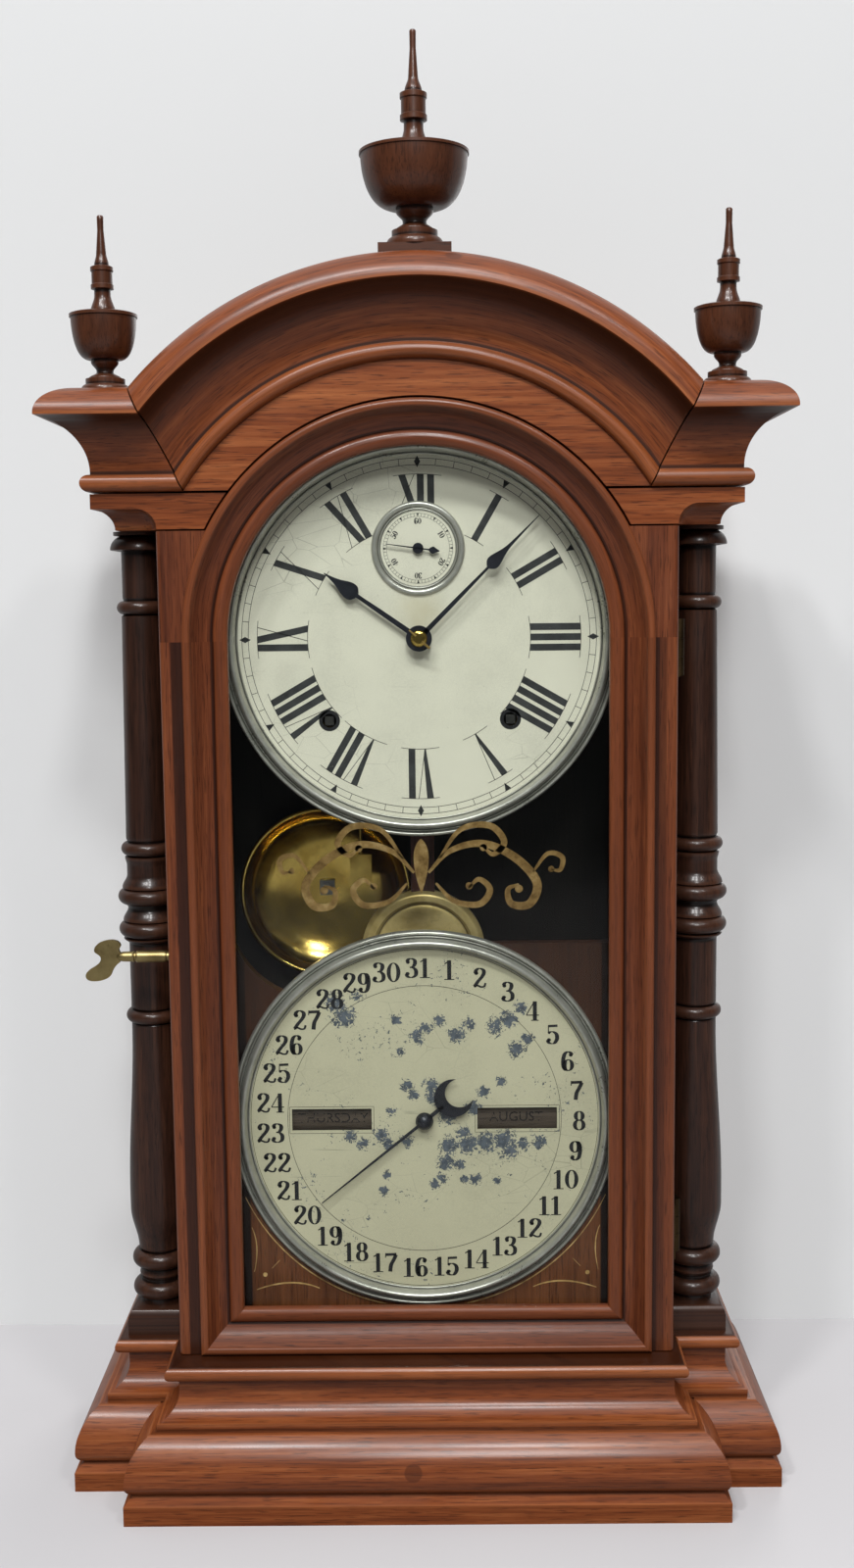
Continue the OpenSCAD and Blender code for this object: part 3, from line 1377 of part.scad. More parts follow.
// The bob: a shallow dome inside a raised, bevelled rim, with a slot for the rod.
module pendulum_bob() {
    front = concat(
        [for (a = [0:15:90]) [bob_dish_r * sin(a), bob_t / 2 - bob_sag * (1 - cos(a))]],
        [[bob_dish_r + 2, bob_t / 2 - 1], [bob_r - 2.5, bob_t / 2 - 1.6], [bob_r, bob_edge_t / 2]]);
    back = [for (p = flip(front)) [p[0], -p[1]]];
    color(brass) difference() {
        translate([0, yd(pendulum_y), 0]) turn_y(0, bob_z) polygon(concat(front, back));
        box([-rod_w / 2 - slot_gap, yd(pendulum_y - rod_t / 2 - slot_gap), rod_low_z - slot_gap],
            [rod_w / 2 + slot_gap, yd(pendulum_y + rod_t / 2 + slot_gap), far]);
        translate([0, yd(pendulum_y), 0]) cylinder(r = nut_wire_r + slot_gap, h = far);
    }
}
module rating_nut() {
    color(brass) translate([0, yd(pendulum_y), nut_z]) difference() {
        cylinder(r = nut_r, h = nut_h);
        translate([0, 0, -1]) cylinder(r = nut_wire_r, h = nut_h + 2);
    }
}

// Bell on its post, and the hammer that strikes its rim.
bell_z = spring_z - bell_drop;
bell_foot = 1.5;
bell_crown_y = case_depth - back_t - bell_foot;
bell_flat_r = 9;
bell_lip_r = 1.6;
bell_rim_y = pendulum_y + bob_t / 2 + bell_gap + bell_lip_r;
bell_h = bell_crown_y - bell_rim_y;
bell_hole_r = 3;
bell_nut_half = 4.5;
bell_nut_h = 4;

// Half the bell's wall: radius against distance behind the rim, open towards the front.
function bell_curve(r, h) = [for (a = [0:10:90]) [bell_flat_r + (r - bell_flat_r) * sin(a), h * cos(a)]];
module bell() {
    outer = concat([[0, bell_h]], bell_curve(bell_r, bell_h));
    inner = concat([[0, bell_h - bell_wall]], bell_curve(bell_r - bell_wall, bell_h - bell_wall));
    color(brass) difference() {
        union() {
            turn_y(-bell_x, bell_z) translate([0, yd(bell_rim_y)]) polygon(concat(outer, flip(inner)));
            turn_y(-bell_x, bell_z) translate([bell_r, yd(bell_rim_y)]) circle(bell_lip_r);
        }
        bar_y(-bell_x, bell_z, bell_hole_r, -far, far);
    }
}
module bell_post() {
    nut_back = yd(bell_crown_y - bell_wall);
    color(steel) union() {
        bar_y(-bell_x, bell_z, bell_hole_r, nut_back - bell_nut_h - 2, back_in_y);
        bar_y(-bell_x, bell_z, bell_flat_r - 1, yd(bell_crown_y), back_in_y);
        box([-bell_x - bell_nut_half, nut_back - bell_nut_h, bell_z - bell_nut_half],
            [-bell_x + bell_nut_half, nut_back, bell_z + bell_nut_half]);
    }
}

// The hammer's wire passes in front of the bell's lip, and its head hangs in the bell's mouth.
head_off_x = 21.7;
head_off_z = 14;
head_half_w = 6.5;
head_half_h = 9.5;
head_depth = 0.42 * bell_h;
wire_r = 0.9;
wire_y = bell_rim_y - bell_lip_r - wire_r - 1;
module hammer() {
    head = [-bell_x + head_off_x, bell_z + head_off_z];
    run = norm(head - hammer_at);
    lean = atan2(head[0] - hammer_at[0], hammer_at[1] - head[1]);
    color(brass) union() {
        bar_y(hammer_at[0], hammer_at[1], arbor_r, yd(plate_y - arbor_over), yd(wire_y + 2 * arbor_r));
        translate([hammer_at[0], yd(wire_y), hammer_at[1]]) rotate([0, -lean, 0])
            translate([0, 0, -run]) cylinder(r = wire_r, h = run);
        box([head[0] - head_half_w, yd(wire_y - 2 * wire_r), head[1] - head_half_h],
            [head[0] + head_half_w, yd(wire_y + head_depth), head[1] + head_half_h]);
    }
}

// The date hand: thin pointer, crescent tail, domed hub and its arbor.
date_hand_y = cal_dial_y - 4;
date_hub_r = 5.1;
date_stem_w = 0.8;
date_dome_r = 4.7;
date_dome_h = 4.2;
moon_r = 11.1;
moon_bite_r = 8.4;
moon_at = 21.6;
moon_bite_at = 26.2;
moon_stem_w = 2;
module date_hand() {
    color(blued) union() {
        on_dial(cal_z, date_a, date_hand_y) hand_outline([[0, date_stem_w]], [[date_hand_l, hand_tip_w]]);
        on_dial(cal_z, date_a, date_hand_y)
            translate([moon_stem_w - moon_bite_at + moon_bite_r, -moon_stem_w / 2])
                square([moon_bite_at - moon_bite_r, moon_stem_w]);
        on_dial(cal_z, date_a, date_hand_y) difference() {
            translate([-moon_at, 0]) circle(moon_r);
            translate([-moon_bite_at, 0]) circle(moon_bite_r);
        }
        on_dial(cal_z, date_a, date_hand_y) circle(date_hub_r);
        turn_y(0, cal_z) polygon(concat(
            [[0, yd(date_hand_y) + hand_t / 2]],
            [for (a = [0:15:90]) [date_dome_r * cos(a), yd(date_hand_y) - date_dome_h * sin(a)]]));
        bar_y(0, cal_z, cal_arbor_r, yd(date_hand_y), yd(bridge_y + frame_t + 1.5));
    }
}

base_front_block();
base_wing_left();
base_wing_right();
column_left();
column_right();
case_side_left();
case_side_right();
back_board();
roof_board();
frieze_left();
frieze_right();
arch_panel();
cornice_arch();
cornice_wing_left();
cornice_wing_right();
top_finial();
side_finial_left();
side_finial_right();
calendar_board();
calendar_dial();
calendar_bezel();
calendar_frame();
time_dial();
time_bezel();
seconds_bezel();
front_plate();
back_plate();
movement_pillars();
bell();
bell_post();
case_hinge_leaves();
latch_keeper();
door_stile_left();
door_stile_right();
door_arch();
door_bottom_rail();
door_glass();
door_hinge_leaves();
latch_key();
minute_hand();
centre_arbor();
centre_wheel();
hour_hand();
hour_wheel();
minute_wheel();
seconds_hand();
escape_wheel();
third_wheel();
second_wheel();
time_great_wheel();
time_arbor();
strike_arbor();
hammer();
pendulum_rod();
pendulum_bob();
rating_nut();
verge();
date_hand();
day_roller();
month_roller();
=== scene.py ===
"""A walnut shelf clock with a time dial above and a calendar dial below, dressed over its solids.

Sizes are in millimetres, and lay() turns them into metres. Depths run back from the front of
the closed door. A shape is a grid of points worked out from two parameters, usually a profile
carried along a path or turned about an axis.
"""
import math

import bmesh
import bpy
import numpy as np
from mathutils import Matrix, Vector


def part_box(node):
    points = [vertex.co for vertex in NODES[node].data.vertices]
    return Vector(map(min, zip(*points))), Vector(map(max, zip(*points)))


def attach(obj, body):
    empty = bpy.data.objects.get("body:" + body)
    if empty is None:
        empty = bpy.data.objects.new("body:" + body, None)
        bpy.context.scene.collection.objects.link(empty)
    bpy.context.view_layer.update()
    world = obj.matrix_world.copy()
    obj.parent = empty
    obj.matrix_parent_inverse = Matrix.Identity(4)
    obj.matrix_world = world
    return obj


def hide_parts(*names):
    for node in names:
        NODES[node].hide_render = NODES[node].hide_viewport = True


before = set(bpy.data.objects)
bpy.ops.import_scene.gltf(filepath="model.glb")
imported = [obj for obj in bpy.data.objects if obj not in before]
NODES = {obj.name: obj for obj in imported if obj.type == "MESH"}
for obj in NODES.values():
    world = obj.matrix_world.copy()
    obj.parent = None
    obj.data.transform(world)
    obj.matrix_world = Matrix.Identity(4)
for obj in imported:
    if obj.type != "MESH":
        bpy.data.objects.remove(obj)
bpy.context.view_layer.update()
MM = 0.001


def span(node):
    """Lowest and highest corner of a solid, in millimetres."""
    low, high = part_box(node)
    return np.array(low) / MM, np.array(high) / MM


def middle_of(node):
    """Middle of a solid's box, in millimetres."""
    low, high = span(node)
    return (low + high) / 2


DOOR_FRONT = span("door_arch")[0][1]
SPRING_Z = span("door_arch")[0][2]
DOOR_Z = span("door_bottom_rail")[0][2]
CAL_Z = middle_of("calendar_dial")[2]
CASE_BACK = span("back_board")[1][1]
BASE_H = span("base_front_block")[1][2]
FRIEZE_Z = span("frieze_right")[0][2]
SECONDS_Z = middle_of("seconds_bezel")[2]
DIAL_R = (span("time_dial")[1][0] - span("time_dial")[0][0]) / 2
SIDES = ((1, "right"), (-1, "left"))
SQUARE = ((-1, -1), (1, -1), (1, 1), (-1, 1))
FILM = 0.07


def back(depth):
    """The model's y at a depth behind the door front."""
    return DOOR_FRONT + depth


def depth_of(node):
    """Depth of a solid's front behind the door front."""
    return span(node)[0][1] - DOOR_FRONT


def film(node):
    """Front and rear depth of a thin film on the front of a solid."""
    return depth_of(node) - FILM, depth_of(node) + 0.1


# Shapes


def grid(*columns):
    """Points from their coordinates, each spread to the shape that all of them make together."""
    return np.stack(np.broadcast_arrays(*columns), -1)


def oval(cx, cy, rx, ry, start, end, n=16):
    """Points cx + rx cos a, cy + ry sin a, with a running from start to end in degrees."""
    a = np.radians(np.linspace(start, end, n + 1))
    return grid(cx + rx * np.cos(a), cy + ry * np.sin(a))


def arc(cx, cy, r, start, end, n=16):
    """A stretch of a circle."""
    return oval(cx, cy, r, r, start, end, n)


def ease(r0, z0, r1, z1, n=14):
    """A turned stretch whose radius follows half a cosine from r0 to r1 between two heights."""
    t = np.linspace(0, 1, n + 1)
    return grid(r0 + (r1 - r0) * (1 - np.cos(np.pi * t)) / 2, z0 + (z1 - z0) * t)


def bead(r, z, h, n=14):
    """A half round of radius h that reaches out to r at height z."""
    return arc(r - h, z, h, -90, 90, n)


def join(*parts):
    """One run of points from several."""
    return np.vstack([np.atleast_2d(part) for part in parts])


def through(points, n=12):
    """A smooth curve through points: Catmull-Rom cubics, n steps to each stretch."""
    p = np.asarray(points, float)
    p = np.vstack([2 * p[0] - p[1], p, 2 * p[-1] - p[-2]])
    t = np.linspace(0, 1, n, endpoint=False)[None, :, None]
    a, b, c, d = (p[i:len(p) - 3 + i][:, None, :] for i in range(4))
    curve = 0.5 * (2 * b + (c - a) * t + (2 * a - 5 * b + 4 * c - d) * t ** 2
                   + (3 * b - a - 3 * c + d) * t ** 3)
    return np.vstack([curve.reshape(-1, p.shape[1]), p[-2]])


def run_length(points):
    """Distance along a run of points."""
    steps = np.linalg.norm(np.diff(points, axis=0), axis=1)
    return np.concatenate([[0], np.cumsum(steps)])


def fine(profile, step=1.2):
    """The same run of points with more of them on its long straight stretches."""
    s = run_length(profile)
    t = np.unique(np.round(np.concatenate([s, np.arange(0, s[-1], step)]), 2))
    return grid(*(np.interp(t, s, column) for column in profile.T))


def hollows(profile, reach=2.4):
    """How deep each point lies under the chord between points a reach away: below 0 on an edge."""
    s = run_length(profile)
    ahead, behind = (grid(*(np.interp(s + d, s, column) for column in profile.T)) for d in (reach, -reach))
    way = ahead - behind
    out = grid(way[:, 1], -way[:, 0]) / (np.linalg.norm(way, axis=1)[:, None] + 1e-9)
    return (((ahead + behind) / 2 - profile) * out).sum(1) / reach


class Shape:
    """Closed skins gathered into one piece, with the way the grain runs and the hollows at each point."""

    def __init__(self):
        self.points, self.grain, self.hollow, self.faces, self.count = [], [], [], [], 0

    def skin(self, points, grain=None, wrap=(False, True), caps=True, hollow=0.0):
        """Joins a grid (rows, columns, 3) with quads, round where it wraps, and caps end rows."""
        rows, cols = points.shape[:2]
        r, c = np.meshgrid(np.arange(rows - (not wrap[0])), np.arange(cols - (not wrap[1])),
                           indexing="ij")
        r1, c1 = (r + 1) % rows, (c + 1) % cols
        quads = grid(r * cols + c, r * cols + c1, r1 * cols + c1, r1 * cols + c)
        self.faces += (quads.reshape(-1, 4) + self.count).tolist()
        if caps and not wrap[0]:
            ring = np.arange(cols) + self.count
            self.faces += [ring.tolist(), (ring + (rows - 1) * cols).tolist()]
        flat = points.reshape(-1, 3)
        self.points.append(flat)
        self.grain.append(flat if grain is None else np.broadcast_to(grain, points.shape).reshape(-1, 3))
        self.hollow.append(np.broadcast_to(hollow, points.shape[:2]).ravel())
        self.count += len(flat)
        return self

    def turned(self, profile, centre, axis="z", n=96):
        """Turns (radius, distance along the axis) once round an upright axis or one along y or x."""
        profile = fine(profile, 2.0)
        a = np.linspace(0, 2 * np.pi, n, endpoint=False)[:, None]
        r, h = profile[None, :, 0], profile[None, :, 1]
        u, v, w = r * np.cos(a), r * np.sin(a), h
        order = {"z": (u, v, w), "y": (u, w, v), "x": (w, u, v)}[axis]
        closed = not (profile[0, 0] == 0 and profile[-1, 0] == 0)
        grain = grid(w, u, v) + np.array([centre[2] * 7, centre[0] * 3, 0])
        points = grid(*order) + np.asarray(centre, float)
        return self.skin(points, grain, (True, closed), hollow=hollows(profile)[None])

    def moulded(self, profile, corners, ways, lead=()):
        """Carries (distance out, height) round plan corners: corner + way x distance out."""
        corners, ways, profile = np.asarray(corners, float), np.asarray(ways, float), fine(profile)
        plan = corners[None] + ways[None] * profile[:, None, :1]
        points = grid(plan[..., 0], plan[..., 1], profile[:, None, 1])
        grain = grid(run_length(corners) + corners[0, 0] * 5, run_length(profile)[:, None], 0)
        hollow = hollows(profile)[:, None]
        if len(lead):
            points = np.concatenate([lead, points])
            grain = np.concatenate([np.asarray(lead), grain])
            hollow = np.concatenate([np.zeros((len(lead), 1)), hollow])
        return self.skin(points, grain, hollow=hollow)

    def slab(self, outline, front, rear):
        """An outline of (x, z) points carried straight back from depth front to depth rear."""
        outline = np.asarray(outline, float)
        return self.skin(np.stack([grid(outline[:, 0], back(y), outline[:, 1]) for y in (front, rear)]))

    def ribbon(self, path, width, front, rear, closed=False):
        """A flat band along a path of (x, z): offsets of half the width each side, front to rear."""
        path = np.asarray(path, float)
        ahead, behind = np.roll(path, -1, 0), np.roll(path, 1, 0)
        if not closed:
            ahead[-1], behind[0] = path[-1], path[0]
        way = ahead - behind
        way /= np.linalg.norm(way, axis=1)[:, None] + 1e-9
        side = grid(-way[:, 1], way[:, 0]) * np.reshape(width, (-1, 1)) / 2
        left, right = path + side, path - side
        loop = [grid(p[:, 0], back(y), p[:, 1])
                for p, y in ((left, front), (right, front), (right, rear), (left, rear))]
        return self.skin(np.stack(loop, 1), wrap=(closed, True))


def lay(name, shape, finish, body, stands_for=(), bevel=0.0, crease=38):
    """Puts a shape in the scene as one piece that rides on a body."""
    mesh = bpy.data.meshes.new(name)
    mesh.from_pydata(np.vstack(shape.points) * MM, [], shape.faces)
    grain = mesh.attributes.new("grain", "FLOAT_VECTOR", "POINT")
    grain.data.foreach_set("vector", (np.vstack(shape.grain) * MM).ravel())
    hollow = mesh.attributes.new("hollow", "FLOAT", "POINT")
    hollow.data.foreach_set("value", np.concatenate(shape.hollow).astype(np.float32))
    work = bmesh.new()
    work.from_mesh(mesh)
    bmesh.ops.remove_doubles(work, verts=work.verts, dist=1e-7)
    bmesh.ops.recalc_face_normals(work, faces=work.faces)
    work.to_mesh(mesh)
    work.free()
    mesh.shade_smooth()
    piece = bpy.data.objects.new(name, mesh)
    bpy.context.scene.collection.objects.link(piece)
    mesh.materials.append(finish)
    if bevel:
        edge = piece.modifiers.new("soft_edge", "BEVEL")
        edge.width, edge.segments = bevel * MM, 2
        edge.limit_method, edge.angle_limit = "ANGLE", math.radians(crease)
        edge.harden_normals = True
    else:
        mesh.set_sharp_from_angle(angle=math.radians(crease))
    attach(piece, body)
    if stands_for:
        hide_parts(*stands_for)


# Finishes


def shade(colour, share):
    """A colour made darker or lighter."""
    return tuple(share * c for c in colour)


def written(operation, swapped=False):
    """An operator that adds one Math node."""
    return lambda self, other: self.sum(operation, *((other, self) if swapped else (self, other)))


class Value:
    """A shader value that can be written in sums; each sum adds its Math node."""

    def __init__(self, paint, socket):
        self.paint, self.socket = paint, socket

    def sum(self, operation, *parts):
        return self.paint.node("Math", {"operation": operation}, dict(enumerate(parts)))

    __add__, __radd__ = written("ADD"), written("ADD", True)
    __sub__, __rsub__ = written("SUBTRACT"), written("SUBTRACT", True)
    __mul__, __rmul__ = written("MULTIPLY"), written("MULTIPLY", True)
    __or__ = written("MAXIMUM")


class Paint:
    """One finish being mixed: a surface shader and the nodes that feed it."""

    def __init__(self, name, **plain):
        self.material = bpy.data.materials.new(name)
        self.material.use_nodes = True
        self.tree = self.material.node_tree
        self.surface = self.tree.nodes["Principled BSDF"]
        self.feed(self.surface, {key.replace("_", " "): value for key, value in plain.items()})

    def feed(self, node, values):
        for key, value in values.items():
            if isinstance(value, Value):
                self.tree.links.new(value.socket, node.inputs[key])
            else:
                node.inputs[key].default_value = value

    def node(self, kind, settings=None, values=None, out=0):
        node = self.tree.nodes.new("ShaderNode" + kind)
        for key, value in (settings or {}).items():
            if key == "stops":
                ramp = node.color_ramp.elements
                for i, (place, colour) in enumerate(value):
                    stop = ramp[i] if i < len(ramp) else ramp.new(place)
                    stop.position, stop.color = place, (*colour, 1)
            else:
                setattr(node, key, value)
        self.feed(node, values or {})
        return Value(self, node.outputs[out])

    def place(self):
        return self.node("TexCoord", out="Object")

    def axis(self, i):
        """One coordinate of the place, in metres."""
        return self.node("SeparateXYZ", {}, {0: self.place()}, i)

    def along(self, way):
        """Grain coordinates, the first along the grain: stored on the piece, or from one axis."""
        if way == "piece":
            return self.node("Attribute", {"attribute_name": "grain"}, out="Vector")
        if way == "x":
            return self.place()
        order = (2, 0, 1) if way == "z" else (1, 2, 0)
        return self.node("CombineXYZ", {}, {i: self.axis(j) for i, j in enumerate(order)})

    def hollow(self):
        """Depth below the chord as stored on the piece, 0 on a piece that stores none."""
        return self.node("Attribute", {"attribute_name": "hollow"}, out="Fac")

    def stretch(self, vector, scale, shift=(0, 0, 0)):
        return self.node("Mapping", {}, {"Vector": vector, "Scale": scale, "Location": shift})

    def noise(self, vector, scale=1.0, detail=3.0, rough=0.5, warp=0.0):
        return self.node("TexNoise", {}, {
            "Vector": vector, "Scale": scale, "Detail": detail, "Roughness": rough, "Distortion": warp})

    def cracks(self, vector, scale):
        return self.node("TexVoronoi", {"feature": "DISTANCE_TO_EDGE"},
                         {"Vector": vector, "Scale": scale}, "Distance")

    def rise(self, value, low, high):
        return self.node("MapRange", {"interpolation_type": "SMOOTHSTEP"},
                         {"Value": value, "From Min": low, "From Max": high})

    def near(self, vector, x, y, z, radius):
        """1 at a point given in millimetres, fading to 0 at a radius from it."""
        gap = self.node("VectorMath", {"operation": "DISTANCE"},
                        {0: vector, 1: (x * MM, y * MM, z * MM)}, "Value")
        return self.rise(gap, radius * MM, 0.0)

    def ramp(self, value, *stops):
        return self.node("ValToRGB", {"stops": stops}, {0: value})

    def tint(self, amount, first, second):
        first = first if isinstance(first, Value) else (*first, 1)
        second = second if isinstance(second, Value) else (*second, 1)
        return self.node("Mix", {"data_type": "RGBA"}, {0: amount, 6: first, 7: second}, 2)

    def relief(self, height, depth, strength=1.0):
        return self.node("Bump", {}, {
            "Height": height, "Distance": depth * MM, "Strength": strength})

    def finish(self, shader):
        """Sends a shader to the material's output."""
        end = next(n for n in self.tree.nodes if n.type == "OUTPUT_MATERIAL")
        self.feed(end, {"Surface": shader})

    def done(self, **varying):
        self.feed(self.surface, {key.replace("_", " "): value for key, value in varying.items()})
        return self.material


def walnut(name, way, tones, shine=0.35, knots=(), painted_shade=None, crevice_dirt_and_shade=0.85, ledge=None, rear=None,
           blur=0.2, veined=0.38):
    """Polished walnut: broad bands, narrower figure, fine streaks, veins and pores along the grain.

    Hollows are darker, with dark old finish there plus painted shade, and edges lighter, with
    rubbed wear plus a painted highlight. Knots are (x, y, z, radius) plugs. Painted shade darkens the
    wood past a half width, and painted shade grows between two heights. Ledge gives the heights of a
    dull plinth and of a top painted dark, painted shade under the door with dirt, and rear the bare
    wood on the outside of the back.
    """
    paint = Paint(name, Coat_Weight=shine, Coat_Roughness=blur, Specular_IOR_Level=0.2)
    grain = paint.along(way)

    def fibres(along, across, detail, rough, warp=0.0):
        return paint.noise(paint.stretch(grain, (along, across, across)), 1, detail, rough, warp)

    dark, mid, light = tones
    bands = fibres(2.2, 30, 5, 0.6, 0.9)
    figure = fibres(6, 150, 4, 0.62, 0.5)
    streaks = fibres(18, 560, 3, 0.6, 0.3)
    veins = paint.rise(fibres(3.4, 85, 4, 0.55, 0.7), 0.57, 0.68)
    pores = paint.rise(fibres(70, 1300, 2, 0.5), 0.55, 0.66)
    tone = bands * 0.36 + figure * 0.32 + streaks * 0.34 - 0.01
    wood = paint.ramp(tone, (0.35, dark), (0.50, mid), (0.66, light))
    wood = paint.tint(veins * veined, wood, shade(dark, 0.9))
    wood = paint.tint(pores * 0.6, wood, shade(dark, 0.5))
    for x, y, z, radius in knots:
        plug = paint.rise(paint.near(paint.place(), x, y, z, radius), 0.12, 0.3)
        wood = paint.tint(plug * (0.35 + streaks * 0.4), wood, shade(dark, 0.7))
    quirk = paint.hollow() + streaks * 0.08
    # Edges lighter: partly rubbed wear, partly a painted highlight along crests and edges.
    wood = paint.tint(paint.rise(0 - quirk, 0.06, 0.34) * 0.4, wood, light)
    # Hollows darker: dark old finish in the crevices plus painted shade.
    wood = paint.tint(paint.rise(quirk, 0.13, 0.38) * crevice_dirt_and_shade, wood, shade(dark, 0.25))
    # Painted shade on the board's side edges and over its upper part, where the case and dial shade it.
    if painted_shade:
        edge, low, high = (v * MM for v in painted_shade)
        side = paint.rise(paint.axis(0).sum("ABSOLUTE", paint.axis(0)), edge, edge + 1.6 * MM)
        above = paint.rise(paint.axis(2), low, high) * 0.8
        wood = paint.tint(side | above, wood, shade(dark, 0.1))
    if rear:
        outside = paint.rise(paint.axis(1), CASE_BACK * MM - 2 * MM, CASE_BACK * MM - 1 * MM)
        bare = paint.ramp(tone, (0.35, shade(rear, 0.55)), (0.66, rear))
        wood = paint.tint(outside, wood, bare)
    wear = paint.rise(paint.noise(paint.place(), 38, 4, 0.6), 0.5, 0.72)
    rough = 0.32 + streaks * 0.18 + wear * 0.10
    if ledge:
        plinth, top = (v * MM for v in ledge)
        # The top ledge under the door is painted dark: painted shade, with some dirt.
        ledge_shade_and_dirt = paint.rise(paint.axis(2), top - 0.9 * MM, top - 0.3 * MM)
        wood = paint.tint(ledge_shade_and_dirt * 0.9, wood, shade(dark, 0.2))
        dull = paint.rise(paint.axis(2), plinth + 2 * MM, plinth)
        rough = rough + dull * 0.3
        paint.feed(paint.surface, {"Coat Weight": (1 - dull | ledge_shade_and_dirt) * shine})
    bump = paint.relief(streaks * 0.5 - pores, 0.05, 0.3)
    return paint.done(Base_Color=wood, Roughness=rough, Normal=bump)


def enamel(name, cream_tone, chips=(), glow=None):
    """Aged cream dial paint: faint blotches, fine cracks, hairline scratches and flaked spots."""
    paint = Paint(name, Specular_IOR_Level=0.35)
    place = paint.place()
    blotch = paint.noise(place, 22, 4, 0.6)
    speck = paint.noise(place, 900, 2, 0.6)
    shares = ((0.32, 0.86), (0.5, 1.0), (0.68, 1.06))
    stops = [(at, shade(cream_tone, share)) for at, share in shares]
    cream = paint.ramp(blotch * 0.7 + speck * 0.3, *stops)
    lines = paint.cracks(paint.stretch(place, (1, 1, 1.7)), 55)
    crazed = (1 - paint.rise(lines, 0.004, 0.012)) * paint.rise(paint.noise(place, 14, 2), 0.52, 0.66)
    hair = paint.noise(paint.stretch(place, (14, 1, 420), (0.3, 0, 0.1)), 1, 2, 0.5, 0.5)
    hair = paint.rise(hair, 0.68, 0.74) * paint.rise(paint.noise(place, 18, 2), 0.5, 0.62)
    cream = paint.tint(crazed * 0.45 + hair * 0.4, cream, (0.20, 0.19, 0.14))
    dirt = paint.rise(paint.noise(place, 420, 3, 0.7), 0.70, 0.78)
    cream = paint.tint(dirt * 0.65, cream, (0.22, 0.20, 0.14))
    if glow:
        aged = paint.near(place, *glow) * paint.noise(place, 60, 3, 0.6)
        cream = paint.tint(aged * 0.9, cream, (0.52, 0.44, 0.24))
    height = blotch * 0.3 + speck * 0.05 - crazed * 0.2
    rough = 0.42 + blotch * 0.12
    if chips:
        cloud = 0
        for x, z, radius in chips:
            spot = paint.near(place, x, span("calendar_dial")[0][1], CAL_Z + z, 1.25 * radius)
            cloud = spot | cloud
        ragged = paint.noise(place, 430, 5, 0.66, 1.2)
        stray = paint.rise(paint.noise(place, 30, 3, 0.6), 0.48, 0.62) * 0.10
        flaked = paint.rise(ragged + (cloud * 0.34 | stray), 0.70, 0.715)
        blue, grey = (0.070, 0.085, 0.105), (0.13, 0.15, 0.18)
        bare = paint.ramp(paint.noise(place, 300, 2), (0.35, blue), (0.65, grey))
        cream = paint.tint(flaked, cream, bare)
        height = height - flaked * 0.8
        rough = rough - flaked * 0.1
    return paint.done(Base_Color=cream, Roughness=rough, Normal=paint.relief(height, 0.12, 0.5))


def metal(name, deep, bright, polish, stain, metallic=1.0, groove=0.7, marks=0.12):
    """Rubbed metal: two tones of tarnish, fine drawn scratches and duller, darker patches."""
    paint = Paint(name, Metallic=metallic)
    place = paint.place()
    cloud = paint.noise(place, 45, 5, 0.65, 0.4)
    scratches = paint.noise(place, 700, 2, 0.5)
    spots = paint.rise(paint.noise(place, 260, 4, 0.7), 0.60, 0.72)
    colour = paint.ramp(cloud, (0.34, deep), (0.62, bright))
    colour = paint.tint(spots * stain, colour, shade(deep, 0.4))
    # Grooves are darker: tarnish in them plus painted shade.
    quirk = paint.rise(paint.hollow(), 0.10, 0.35)
    colour = paint.tint(quirk * groove, colour, shade(deep, 0.2))
    rough = polish + cloud * 0.16 + scratches * 0.08 + spots * 0.2 * stain - 0.08
    return paint.done(Base_Color=colour, Roughness=rough, Normal=paint.relief(scratches, 0.02, marks))


def print_ink(name, colour, worn):
    """Printed black: slightly glossy, a little uneven, worn away in specks."""
    paint = Paint(name, Specular_IOR_Level=0.3)
    place = paint.place()
    uneven = paint.noise(place, 120, 4, 0.6)
    rubbed = paint.rise(paint.noise(place, 650, 4, 0.7), 0.66, 0.74)
    black = paint.ramp(uneven, (0.3, shade(colour, 0.7)), (0.7, shade(colour, 1.5)))
    black = paint.tint(rubbed * worn, black, (0.30, 0.30, 0.25))
    return paint.done(Base_Color=black, Roughness=0.5 + uneven * 0.15)


def blued_steel():
    """Blue-black hands: dark steel with a violet cast and fine marks."""
    paint = Paint("blued_steel", Metallic=0.55, Coat_Weight=0.3, Coat_Roughness=0.2)
    place = paint.place()
    cloud = paint.noise(place, 90, 4, 0.6)
    marks = paint.rise(paint.noise(paint.stretch(place, (1, 1, 3)), 500, 3, 0.6), 0.6, 0.7)
    colour = paint.ramp(cloud, (0.35, (0.010, 0.011, 0.016)), (0.65, (0.022, 0.024, 0.036)))
    colour = paint.tint(marks * 0.4, colour, (0.06, 0.055, 0.05))
    return paint.done(Base_Color=colour, Roughness=0.34 + cloud * 0.14)


def gilding(name, metallic, strength):
    """Gold leaf lines: warm, uneven and rubbed thin in places."""
    paint = Paint(name, Metallic=metallic)
    place = paint.place()
    cloud = paint.noise(place, 160, 4, 0.65)
    tones = ((0.32, (0.20, 0.115, 0.035)), (0.55, (0.42, 0.27, 0.095)), (0.72, (0.60, 0.43, 0.19)))
    colour = paint.ramp(cloud, *[(at, shade(tone, strength)) for at, tone in tones])
    return paint.done(Base_Color=colour, Roughness=0.32 + cloud * 0.2)


def pane():
    """Clear glass: see-through, with a reflection that grows towards grazing."""
    paint = Paint("old_glass")
    clear = paint.node("BsdfTransparent", {}, {"Color": (0.97, 0.985, 0.975, 1)})
    ripple = paint.noise(paint.place(), 9, 2)
    shine = paint.node("BsdfGlossy", {}, {
        "Roughness": 0.03, "Color": (1, 1, 1, 1), "Normal": paint.relief(ripple, 0.6, 0.15)})
    amount = paint.node("Fresnel", {}, {"IOR": 1.45}) * 0.3
    paint.finish(paint.node("MixShader", {}, {0: amount, 1: clear, 2: shine}))
    paint.tree.nodes.remove(paint.surface)
    return paint.material


